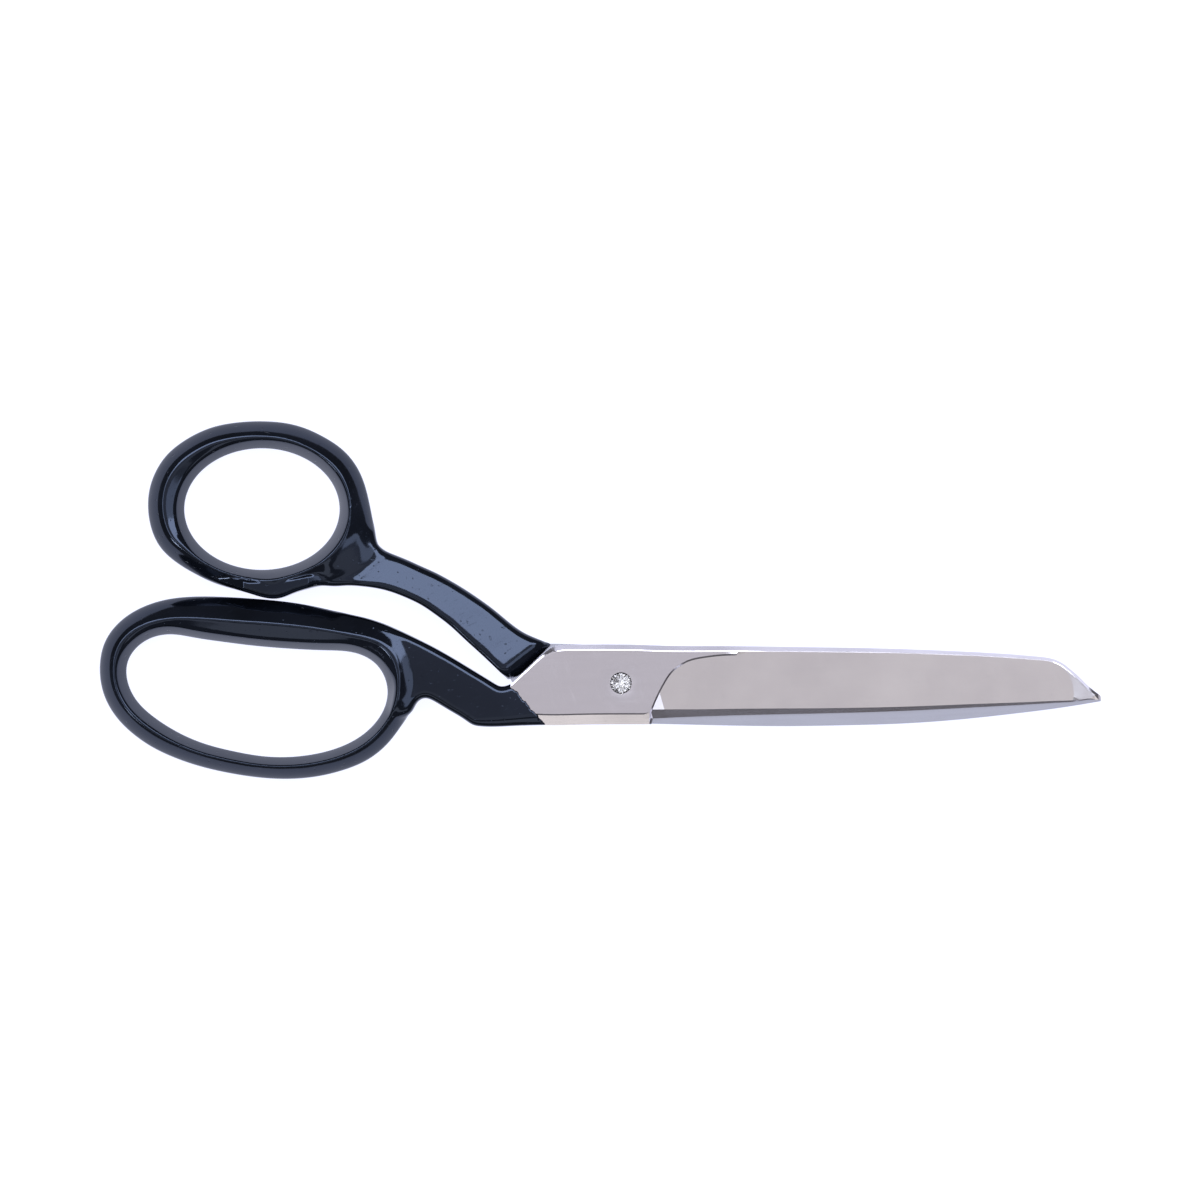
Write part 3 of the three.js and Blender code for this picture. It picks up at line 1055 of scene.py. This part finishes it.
    def relief(self) -> Relief:
        """The blade as a shaped plate."""
        inner, outer = self.spine_widths(self.spine_path[:, 0])
        bevel = np.interp(self.edge_path[:, 0], *self.EDGE_BEVEL)
        chamfer = np.full(len(self.foot_path), self.FOOT_WIDTH)
        band_edge = np.vstack([self.ground_from - (0, self.BAND_TAIL), self.runout])
        creases = [
            self.inset(self.spine_path, inner),
            self.inset(self.spine_path, outer),
            self.inset(self.foot_path, chamfer),
            self.inset(self.foot_path, chamfer + self.GROOVE_WIDTH),
            self.inset(self.edge_path, bevel),
            np.vstack([self.ground_from - (0, self.RUNOUT_TAIL), self.runout]),
            self.inset(band_edge, np.full(len(band_edge), self.RUNOUT_BAND)),
            self.end.line(-self.STEP_FROM),
            self.end.line(-self.STEP_FROM - self.STEP_WIDTH),
        ]
        creases += [smooth_path(line) for line in (self.tip_line, self.choil_line) if line]
        turn = np.linspace(0, 2 * math.pi, 49)[:-1]
        circle = np.column_stack([np.cos(turn), np.sin(turn)])
        for radius in (self.pivot_radius + self.HOLE_COLLAR, *self.DISH_CREASES, self.DISH_RADIUS):
            creases.append(np.vstack([circle, circle[:1]]) * radius)
        lines = [c[is_inside(self.outline, c) & (c[:, 0] < self.CREASES_TO)] for c in creases if len(c) > 1]
        return Relief(self.outline, lines, [circle * self.pivot_radius], self.FLOOR, self.top)


FINGER_END = EnamelEnd(
    heel=(-22.6, -0.15), foot=(-15.3, -8.7), shoulder=((-22.5, -0.2), (-15.2, -7.6)), blade_side=1,
)
THUMB_END = EnamelEnd(
    heel=(-23.1, 0.5), foot=(-15.4, 8.45), shoulder=((-22.2, -0.15), (-15.2, 6.35)), blade_side=-1,
)
THUMB_END_TURNED = EnamelEnd(
    heel=(-23.1, -0.5), foot=(-15.4, -8.45), shoulder=((-22.45, -0.1), (-15.45, -6.6)), blade_side=1,
)
FRONT_BLADE = dict(
    back=[(-22.2, 0.0), (-16.9, 4.9)],
    spine=[
        (-15.4, 6.3), (-13.9, 7.35), (-12, 7.75), (-9, 7.84), (3, 7.79), (9, 7.6), (21, 7.52), (33, 7.38),
        (45, 7.2), (57, 6.93), (69, 6.45), (75, 6.15), (81, 5.75), (85, 5.4), (88, 5.0), (90, 4.28),
        (92, 2.84), (94, 1.1), (96, -0.85), (98.25, -2.6),
    ],
    edge=[
        (98.35, -3.3), (97.2, -3.45), (94, -3.75), (89.5, -4.08), (85, -4.35), (75, -4.9), (57, -5.8),
        (28, -6.55), (16, -6.9), (6.55, -7.3),
    ],
    foot=[(6.2, -8.45), (0, -8.45), (-9, -8.55), (-15.0, -8.62), (-17.8, -8.5)],
    tang=[(-20.3, -6.5), (-22.6, -3.8), (-23.6, -2.4)],
    tip_line=[(88.6, 4.0), (91.2, 2.25), (92.3, 0.37), (92.8, -2.8)],
    choil_line=[(9.1, -6.2), (7.9, -1.9)],
    pivot_radius=2.2,
)
REAR_BLADE = dict(
    back=[(-22.2, 0.0), (-16.9, 5.3)],
    spine=[
        (-15.7, 6.5), (-14.2, 7.7), (-12, 8.2), (-6, 8.3), (6, 8.4), (21, 8.75), (33, 8.9), (45, 8.75),
        (57, 8.4), (69, 7.58), (81, 6.3), (90, 5.15), (98.4, 3.8),
    ],
    edge=[(98.4, 3.3), (96, 2.45), (90, 0.3), (75, -2.4), (57, -3.9), (28, -5.2), (6.55, -6.0)],
    foot=[(6.2, -7.45), (-4, -7.7), (-14.2, -8.0), (-17.0, -8.0)],
    tang=[(-19.8, -6.6), (-22.4, -4.0), (-23.6, -2.4)],
    pivot_radius=2.7,
)


# Edges of a blade's facets that turn by more than this many degrees stay sharp.
BLADE_CREASE = 4.0


# ---------------------------------------------------------------------------------------------
# Pivot screw
# ---------------------------------------------------------------------------------------------
@dataclass
class PivotScrew:
    """The pivot screw: a slotted head behind, and an end hammered over in front.

    Args:
        head_radius: Radius of the head.
        head_low: Height of the head's underside.
        head_high: Height where the head bears on the rear blade.
        end_radius: Radius of the hammered end.
        end_top: Height of the hammered end.
        slot_width: Width of the slot.
        slot_depth: Depth of the slot.
    """

    head_radius: float = 4.78
    head_low: float = -4.69
    head_high: float = -3.7
    end_radius: float = 2.06
    end_top: float = 3.76
    slot_width: float = 1.1
    slot_depth: float = 0.5

    HEAD_DOME = 0.02
    # Roundings of the head's rim, its bearing face, the slot, the slot's lips, the end and the shoulder.
    ROUNDS = (0.35, 0.05, 0.1, 0.12, 0.3, 0.1)
    # The hammered end: each wave's size, its count round the end, its twist and its phase.
    STAR = ((0.09, 9, 2, 0), (0.06, 17, -3, 1))
    STAR_FROM = 0.8
    END_DROP = 0.12
    END_FALL = 0.02
    END_ABOVE = -1
    # The shoulder's radius, middle height and half length.
    SHOULDER = (2.6, -2.2, 2.0)

    def rule(self, x: Array, y: Array, z: Array) -> Array:
        """The screw's rule, negative inside it."""
        rim_round, bearing_round, slot_round, lip_round, end_round, shoulder_round = self.ROUNDS
        radius, angle = np.hypot(x, y), np.arctan2(y, x)
        dome = self.head_low + self.HEAD_DOME * radius**2 * (radius / self.head_radius)
        head = soft_max(radius - self.head_radius, dome - z, rim_round)
        head = soft_max(head, z - self.head_high, bearing_round)
        in_slot = z - self.head_low - self.slot_depth
        slot = soft_max(np.abs(y) - self.slot_width / 2, in_slot, slot_round)
        head = soft_max(head, -slot, lip_round)
        star = sum(
            size * np.sin(count * angle + twist * radius + phase) for size, count, twist, phase in self.STAR
        )
        end_top = self.end_top - self.END_DROP + star * np.clip(radius / self.STAR_FROM, 0, 1)
        end = soft_max(radius - self.end_radius, z - (end_top - self.END_FALL * radius), end_round)
        shoulder_radius, middle, half = self.SHOULDER
        shoulder = soft_max(radius - shoulder_radius, np.abs(z - middle) - half, shoulder_round)
        return np.minimum(np.minimum(head, shoulder), np.where(z > self.END_ABOVE, end, 1.0))

    def build(self) -> tuple[Array, Array]:
        """Wraps the screw's mesh."""
        reach = self.head_radius + 0.3
        low, high = np.array((-reach, -reach, -5.0)), np.array((reach, reach, 4.1))
        return Skin(self.rule, low, high, 0.11, passes=2).build()


@dataclass
class StakingMarks:
    """The punch marks that spread the screw's end, as one ring of small raised burrs.

    Args:
        count: How many burrs there are.
        radius: Radius of their ring, in metres.
        height: Height of the ring, in metres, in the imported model's frame.
        seed: Seed for their sizes.
        size: Radius of a burr before it is stretched, in metres.
    """

    count: int
    radius: float
    height: float
    seed: int
    size: float = 0.00016

    # Least and greatest stretch of a burr: outwards, round the ring and upwards.
    LEAST_STRETCH = (1.2, 0.5, 0.25)
    MOST_STRETCH = (2.6, 1.0, 0.6)

    def node_group(self, material: bpy.types.Material) -> bpy.types.NodeTree:
        """Builds the Geometry Nodes group that repeats the burr."""
        tree = bpy.data.node_groups.new("staking_marks", "GeometryNodeTree")
        for name, kind in (("Count", "Int"), ("Radius", "Float"), ("Size", "Float"), ("Seed", "Int")):
            tree.interface.new_socket(name, in_out="INPUT", socket_type=f"NodeSocket{kind}")
        tree.interface.new_socket("Geometry", in_out="OUTPUT", socket_type="NodeSocketGeometry")
        source, circle, burr, place, position, align, scale, real, finish, result = (
            tree.nodes.new(kind)
            for kind in (
                "NodeGroupInput", "GeometryNodeMeshCircle", "GeometryNodeMeshIcoSphere",
                "GeometryNodeInstanceOnPoints", "GeometryNodeInputPosition",
                "FunctionNodeAlignRotationToVector", "FunctionNodeRandomValue",
                "GeometryNodeRealizeInstances", "GeometryNodeSetMaterial", "NodeGroupOutput",
            )
        )
        burr.inputs["Subdivisions"].default_value = 2
        align.axis = "X"
        scale.data_type = "FLOAT_VECTOR"
        scale.inputs[0].default_value = self.LEAST_STRETCH
        scale.inputs[1].default_value = self.MOST_STRETCH
        finish.inputs["Material"].default_value = material
        for start, output, end, entry in (
            (source, "Count", circle, "Vertices"),
            (source, "Radius", circle, "Radius"),
            (source, "Size", burr, "Radius"),
            (circle, "Mesh", place, "Points"),
            (burr, "Mesh", place, "Instance"),
            (position, "Position", align, "Vector"),
            (align, "Rotation", place, "Rotation"),
            (source, "Seed", scale, "Seed"),
            (scale, 0, place, "Scale"),
            (place, "Instances", real, "Geometry"),
            (real, "Geometry", finish, "Geometry"),
            (finish, "Geometry", result, "Geometry"),
        ):
            tree.links.new(start.outputs[output], end.inputs[entry])
        return tree

    def build(self, pivot: Vector, material: bpy.types.Material) -> bpy.types.Object:
        """Makes the ring of burrs as one plain mesh.

        Args:
            pivot: The pivot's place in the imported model.
            material: The screw's finish.

        Returns:
            The new object.
        """
        tree = self.node_group(material)
        holder = new_object("staking_source", bpy.data.meshes.new("staking_source"))
        modifier = holder.modifiers.new("staking", "NODES")
        modifier.node_group = tree
        values = {"Count": self.count, "Radius": self.radius, "Size": self.size, "Seed": self.seed}
        for item in tree.interface.items_tree:
            if item.name in values:
                modifier[item.identifier] = values[item.name]
        evaluated = holder.evaluated_get(bpy.context.evaluated_depsgraph_get())
        mesh = bpy.data.meshes.new_from_object(evaluated)
        bpy.data.objects.remove(holder)
        for vertex in mesh.vertices:
            vertex.co += Vector((pivot.x, pivot.y, pivot.z + self.height))
        mesh.name = "staking_marks"
        return new_object("staking_marks", mesh)


# ---------------------------------------------------------------------------------------------
# Finishes
# ---------------------------------------------------------------------------------------------
Colour = tuple[float, float, float]
Amount = "Wire | float"


class Maths(Enum):
    """The scalar steps that finishes use."""

    ADD = "ADD"
    SUBTRACT = "SUBTRACT"
    MULTIPLY = "MULTIPLY"
    DIVIDE = "DIVIDE"
    MINIMUM = "MINIMUM"
    MAXIMUM = "MAXIMUM"


class Wire:
    """A value in a material's node tree that takes part in Python expressions."""

    def __init__(self, tree: bpy.types.NodeTree, socket: bpy.types.NodeSocket) -> None:
        """Wraps an output socket of a tree."""
        self.tree = tree
        self.socket = socket

    def _maths(self, step: Maths, left: Amount, right: Amount) -> Wire:
        """Adds one scalar step."""
        node = self.tree.nodes.new("ShaderNodeMath")
        node.operation = step.value
        for socket, value in zip(node.inputs, (left, right)):
            feed(socket, value)
        return Wire(self.tree, node.outputs[0])

    def __add__(self, other: Amount) -> Wire:
        """Sum."""
        return self._maths(Maths.ADD, self, other)

    def __radd__(self, other: Amount) -> Wire:
        """Sum, the other way round."""
        return self._maths(Maths.ADD, other, self)

    def __sub__(self, other: Amount) -> Wire:
        """Difference."""
        return self._maths(Maths.SUBTRACT, self, other)

    def __mul__(self, other: Amount) -> Wire:
        """Product."""
        return self._maths(Maths.MULTIPLY, self, other)

    def __truediv__(self, other: Amount) -> Wire:
        """Quotient."""
        return self._maths(Maths.DIVIDE, self, other)

    def clamp(self, low: float = 0.0, high: float = 1.0) -> Wire:
        """The value kept between two limits."""
        return self._maths(Maths.MINIMUM, self._maths(Maths.MAXIMUM, self, low), high)

    def step(self, start: float, end: float) -> Wire:
        """A ramp from zero at one value to one at another."""
        return ((self - start) / (end - start)).clamp()


def feed(socket: bpy.types.NodeSocket, value: Any) -> None:
    """Links a wire to an input socket, or sets the socket to a plain value."""
    if isinstance(value, Wire):
        value.tree.links.new(value.socket, socket)
    else:
        socket.default_value = value


class Paint:
    """Builds one material's node tree."""

    def __init__(self, name: str) -> None:
        """Makes an empty material with a Principled shader."""
        self.material = bpy.data.materials.new(name)
        self.material.use_nodes = True
        self.tree = self.material.node_tree
        self.tree.nodes.clear()
        self.shader = self.tree.nodes.new("ShaderNodeBsdfPrincipled")
        output = self.tree.nodes.new("ShaderNodeOutputMaterial")
        self.tree.links.new(self.shader.outputs["BSDF"], output.inputs["Surface"])
        self.place = self.node("ShaderNodeTexCoord", "Object")

    def node(
        self,
        kind: str,
        output: str | int,
        settings: dict[str, Any] | None = None,
        inputs: dict[str, Any] | None = None,
    ) -> Wire:
        """Adds one node.

        Args:
            kind: The node's type.
            output: The output to use, by name or place.
            settings: Its settings, made first.
            inputs: Its inputs, by name, as values or wires.

        Returns:
            The chosen output.
        """
        node = self.tree.nodes.new(kind)
        for name, value in (settings or {}).items():
            setattr(node, name, value)
        for name, value in (inputs or {}).items():
            feed(next(s for s in node.inputs if name in (s.identifier, s.name) and s.enabled), value)
        return Wire(self.tree, node.outputs[output])

    def stretched(self, scale: Colour, turn: float = 0.0) -> Wire:
        """The object's coordinates, scaled along each axis and turned about Z."""
        settings = {"vector_type": "TEXTURE"} if turn else {}
        inputs = {"Vector": self.place, "Rotation": (0, 0, turn)}
        placed = self.node("ShaderNodeMapping", 0, settings, inputs)
        inputs = {"Vector": placed, "Vector_001": scale}
        return self.node("ShaderNodeVectorMath", 0, {"operation": "MULTIPLY"}, inputs)

    def noise(self, scale: float, detail: float = 2.0, along: Wire | None = None) -> Wire:
        """Cloudy noise from zero to one."""
        inputs = {"Vector": along or self.place, "Scale": scale, "Detail": detail}
        return self.node("ShaderNodeTexNoise", "Fac", inputs=inputs)

    def mix(self, start: Colour, end: Colour, share: Wire) -> Wire:
        """A colour between two others."""
        inputs = {"Factor_Float": share, "A_Color": (*start, 1), "B_Color": (*end, 1)}
        return self.node("ShaderNodeMix", 2, {"data_type": "RGBA"}, inputs)

    def bump(self, height: Wire, distance: float, under: Wire | None = None) -> Wire:
        """A normal that follows a height, over another where there is one."""
        inputs: dict[str, Any] = {"Height": height, "Distance": distance, "Strength": 1.0}
        if under:
            inputs["Normal"] = under
        return self.node("ShaderNodeBump", "Normal", inputs=inputs)

    def set(self, **sockets: Any) -> None:
        """Sets the shader's inputs, with underscores for the spaces in their names."""
        for name, value in sockets.items():
            feed(self.shader.inputs[name.replace("_", " ")], value)


@dataclass(frozen=True)
class PlatedSteel:
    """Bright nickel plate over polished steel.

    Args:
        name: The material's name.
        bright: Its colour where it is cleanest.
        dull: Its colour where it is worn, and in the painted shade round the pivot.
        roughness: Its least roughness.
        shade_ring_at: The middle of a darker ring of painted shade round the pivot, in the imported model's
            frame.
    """

    name: str = "nickel_plate"
    bright: Colour = (0.69, 0.665, 0.7)
    dull: Colour = (0.56, 0.535, 0.565)
    roughness: float = 0.13
    shade_ring_at: Colour = (0.0, 0.0, 0.0)

    # Distances from that place, in metres, where the painted shade ring starts and where it is full.
    SHADE_RING = (0.0062, 0.0044)

    def build(self) -> bpy.types.Material:
        """Makes the material."""
        paint = Paint(self.name)
        clouds = paint.noise(60.0, 3.0).step(0.35, 0.7)
        lines = paint.noise(1.0, 2.0, paint.stretched((90.0, 2600.0, 2600.0), 0.05))
        rubs = paint.noise(1.0, 2.0, paint.stretched((3200.0, 160.0, 3200.0), 0.4)).step(0.62, 0.75)
        specks = paint.noise(2600.0, 2.0).step(0.66, 0.78)
        # Painted shade: the plate is darkened in a ring round the pivot, standing in for the shading of the
        # shallow dish there.
        settings = {"operation": "DISTANCE"}
        inputs = {"Vector": paint.place, "Vector_001": self.shade_ring_at}
        shade_ring = paint.node("ShaderNodeVectorMath", "Value", settings, inputs).step(*self.SHADE_RING)
        # The dull colour mixes real wear (clouds and specks) with the painted shade round the pivot.
        wear_and_shade = (clouds * 0.5 + specks * 0.3 + shade_ring * 0.9).clamp()
        paint.set(
            Base_Color=paint.mix(self.bright, self.dull, wear_and_shade),
            Metallic=1.0,
            Roughness=self.roughness + clouds * 0.05 + lines * 0.05 + rubs * 0.05 + shade_ring * 0.06,
            Normal=paint.bump(paint.noise(140.0, 1.0), 0.000015, paint.bump(lines + rubs * 0.5, 0.0000006)),
        )
        return paint.material


@dataclass(frozen=True)
class BlackEnamel:
    """Glossy black enamel, dipped and baked over a rough forging.

    Args:
        name: The material's name.
        deep: Its colour.
        faded: Its colour where it is worn.
        roughness: Its least roughness.
    """

    name: str = "black_enamel_coat"
    deep: Colour = (0.0016, 0.0021, 0.0034)
    faded: Colour = (0.007, 0.009, 0.015)
    roughness: float = 0.07

    def build(self) -> bpy.types.Material:
        """Makes the material."""
        paint = Paint(self.name)
        clouds = paint.noise(90.0, 3.0).step(0.35, 0.7)
        sags = paint.noise(130.0, 1.0, paint.stretched((1.0, 1.6, 1.0), 0.6))
        peel = paint.noise(900.0, 1.0)
        dust = paint.noise(1500.0, 0.0).step(0.79, 0.84)
        wear = paint.noise(1.0, 2.0, paint.stretched((500.0, 2600.0, 900.0), 0.5)).step(0.63, 0.72)
        paint.set(
            Base_Color=paint.mix(self.deep, self.faded, (clouds * 0.6 + wear * 0.4).clamp()),
            Metallic=0.0,
            Roughness=self.roughness + clouds * 0.04 + wear * 0.12,
            IOR=1.55,
            # The blue specular tint is painted reflection colour: it makes the lamps' reflections in the
            # enamel bluer than plain black enamel shows them.
            Specular_Tint=(0.56, 0.69, 1.0, 1.0),
            Normal=paint.bump(sags, 0.00009, paint.bump(peel, 0.0000016, paint.bump(dust, -0.00003))),
        )
        return paint.material


@dataclass(frozen=True)
class ScrewSteel:
    """Turned steel, bright where it was hammered over.

    Args:
        name: The material's name.
        bright: Its colour outside the dark patches.
        dark: Its colour in the dark patches, which lie at random.
        roughness: Its least roughness.
    """

    name: str = "hammered_screw_steel"
    bright: Colour = (0.86, 0.85, 0.86)
    dark: Colour = (0.22, 0.21, 0.22)
    roughness: float = 0.2

    def build(self) -> bpy.types.Material:
        """Makes the material."""
        paint = Paint(self.name)
        dents = paint.noise(2600.0, 2.0)
        # Dark patches at random over the screw, mixed into its colour.
        dark_patches = paint.noise(1500.0, 3.0).step(0.48, 0.62)
        paint.set(
            Base_Color=paint.mix(self.bright, self.dark, dark_patches * 0.8),
            Metallic=1.0,
            Roughness=self.roughness + dents * 0.15,
            Normal=paint.bump(dents, 0.00022),
        )
        return paint.material


@dataclass(frozen=True)
class PaleFloor:
    """A plain, nearly white sheet."""

    name: str = "pale_floor"

    def build(self) -> bpy.types.Material:
        """Makes the material."""
        paint = Paint(self.name)
        grain = paint.noise(300.0, 2.0)
        paint.set(
            Base_Color=paint.mix((0.20, 0.20, 0.20), (0.21, 0.21, 0.21), grain),
            Roughness=0.9,
            Specular_IOR_Level=0.0,
            Emission_Color=paint.mix((0.97, 1.0, 1.2), (0.96, 0.99, 1.2), grain),
            Emission_Strength=0.95,
        )
        return paint.material


# ---------------------------------------------------------------------------------------------
# Studio
# ---------------------------------------------------------------------------------------------
@dataclass(frozen=True)
class Softbox:
    """One soft light, placed by the directions that it fills.

    Args:
        name: The light's name.
        towards: Tangents of its middle's angles from the vertical, along X and Y.
        spread: Its width and depth at a height of one, in the same tangents.
        glow: Its brightness.
        colour: Its colour.
    """

    name: str
    towards: Point
    spread: Point
    glow: float
    colour: Colour = (1.0, 1.0, 1.0)

    HEIGHT = 2.5
    WATTS = 4

    def build(self) -> bpy.types.Object:
        """Makes the light, facing the middle of the floor."""
        light = bpy.data.lights.new(self.name, "AREA")
        middle = Vector((self.towards[0], self.towards[1], 1.0)) * self.HEIGHT
        light.shape = "RECTANGLE"
        light.size = self.spread[0] * self.HEIGHT
        light.size_y = self.spread[1] * self.HEIGHT
        light.color = self.colour
        light.energy = self.WATTS * light.size * light.size_y * self.glow
        obj = new_object(self.name, light)
        obj.location = middle
        obj.visible_camera = False
        return obj


@dataclass
class Studio:
    """The floor, the lights and the camera.

    Args:
        boxes: The soft lights.
        ambient: Brightness all round.
        lens: Focal length of the camera, in millimetres.
        distance: Height of the camera over the middle of the shears, in metres.
    """

    boxes: Sequence[Softbox]
    ambient: float
    lens: float = 150.0
    distance: float = 1.025

    FLOOR_HALF = 6.0
    FLOOR_THICKNESS = 0.01
    AMBIENT_COLOUR = (0.95, 0.93, 1.0, 1.0)
    SENSOR_MM = 36.0
    CLIP_START = 0.01

    def build(self, top: float) -> None:
        """Sets up the floor, lights, camera and view.

        Args:
            top: Height of the object's highest point.
        """
        size = self.FLOOR_HALF
        square = ((-size, -size), (size, -size), (size, size), (-size, size))
        corners = [(x, y, z) for z in (-self.FLOOR_THICKNESS, 0.0) for x, y in square]
        faces = [(3, 2, 1, 0), (4, 5, 6, 7), (0, 1, 5, 4), (1, 2, 6, 5), (2, 3, 7, 6), (3, 0, 4, 7)]
        mesh = bpy.data.meshes.new("floor")
        mesh.from_pydata(corners, [], faces)
        mesh.materials.append(PaleFloor().build())
        new_object("floor", mesh)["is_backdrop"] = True
        for box in self.boxes:
            box.build()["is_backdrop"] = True
        world = bpy.data.worlds.new("studio")
        world.use_nodes = True
        background = world.node_tree.nodes["Background"]
        background.inputs["Color"].default_value = self.AMBIENT_COLOUR
        background.inputs["Strength"].default_value = self.ambient
        bpy.context.scene.world = world
        camera = new_object("camera", bpy.data.cameras.new("camera"))
        camera.data.lens = self.lens
        camera.data.sensor_width = self.SENSOR_MM
        camera.data.clip_start = self.CLIP_START
        camera.location = (0.0, 0.0, top / 2 + self.distance)
        bpy.context.scene.camera = camera
        bpy.context.scene.view_settings.view_transform = "Standard"
        log.info("studio: %d lights", len(self.boxes))


STUDIO = Studio(
    boxes=(
        Softbox("overhead", (0.0, 0.04), (0.62, 0.28), 0.38, (0.97, 0.935, 1.0)),
        Softbox("overhead_near", (0.0, -0.265), (0.62, 0.33), 0.52, (1.0, 0.965, 0.955)),
        Softbox("far_box", (0.1, 0.38), (1.3, 0.36), 4.7, (0.86, 0.9, 1.0)),
        Softbox("left_box", (-0.52, 0.0), (0.26, 0.7), 2.4, (0.86, 0.9, 1.0)),
        Softbox("right_box", (0.52, 0.0), (0.26, 0.7), 1.6, (0.86, 0.9, 1.0)),
        Softbox("near_box", (0.0, -0.86), (1.6, 0.4), 0.75, (1.0, 0.96, 0.92)),
        Softbox("right_sheen", (0.35, -0.1), (0.08, 0.6), 0.3, (0.93, 0.94, 1.0)),
        Softbox("spark", (-1.0, -0.8), (0.3, 0.3), 12.0),
    ),
    ambient=0.15,
)


def main() -> None:
    """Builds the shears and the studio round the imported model."""
    logging.basicConfig(level=logging.INFO, format="%(name)s: %(message)s")
    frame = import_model()
    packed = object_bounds()
    bench = Bench(Vector(frame["joints"][0]["pos_m"]))
    pivot = tuple(bench.pivot)
    steel = PlatedSteel(shade_ring_at=pivot).build()
    # A bluer copy of the same nickel plate: painted blue reflection for the rear blade, whose plating is the
    # same as the front blade's.
    blue_reflection_steel = PlatedSteel(
        "nickel_plate_blue_reflection", bright=(0.63, 0.66, 0.77), dull=(0.55, 0.58, 0.67), shade_ring_at=pivot
    ).build()
    enamel, screw_steel = BlackEnamel().build(), ScrewSteel().build()

    finger = Handle(**FINGER_HANDLE, end=FINGER_END).build()
    obj = bench.piece("finger_handle_skin", finger, Body.FINGER, Slot.ENAMEL, enamel)
    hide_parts("finger_handle_enamel")
    thumb = Handle(**THUMB_HANDLE, end=THUMB_END).build()
    obj = bench.piece("thumb_handle_skin", thumb, Body.THUMB, Slot.ENAMEL, enamel)
    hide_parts("thumb_handle_enamel")

    front = Blade(**FRONT_BLADE, end=FINGER_END).relief().build()
    obj = bench.piece("front_blade_ground", front, Body.FINGER, Slot.STEEL, steel, crease_angle=BLADE_CREASE)
    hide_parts("front_blade")
    rear = Blade(**REAR_BLADE, end=THUMB_END_TURNED).relief().build()
    turned = dict(turned_over=True, crease_angle=BLADE_CREASE)
    # The rear blade wears the bluer copy of the plate, with its painted blue reflection.
    obj = bench.piece("rear_blade_ground", rear, Body.THUMB, Slot.STEEL, blue_reflection_steel, **turned)
    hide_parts("rear_blade")

    obj = bench.piece("pivot_screw_turned", PivotScrew().build(), Body.FINGER, Slot.SCREW, screw_steel)
    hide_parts("pivot_screw")
    marks = StakingMarks(count=22, radius=0.0019, height=0.00365, seed=3).build(bench.pivot, screw_steel)
    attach(marks, Body.FINGER.value)
    log.info("staking_marks: %d faces", len(marks.data.polygons))

    STUDIO.build(packed[1][2])


if __name__ == "__main__":
    main()
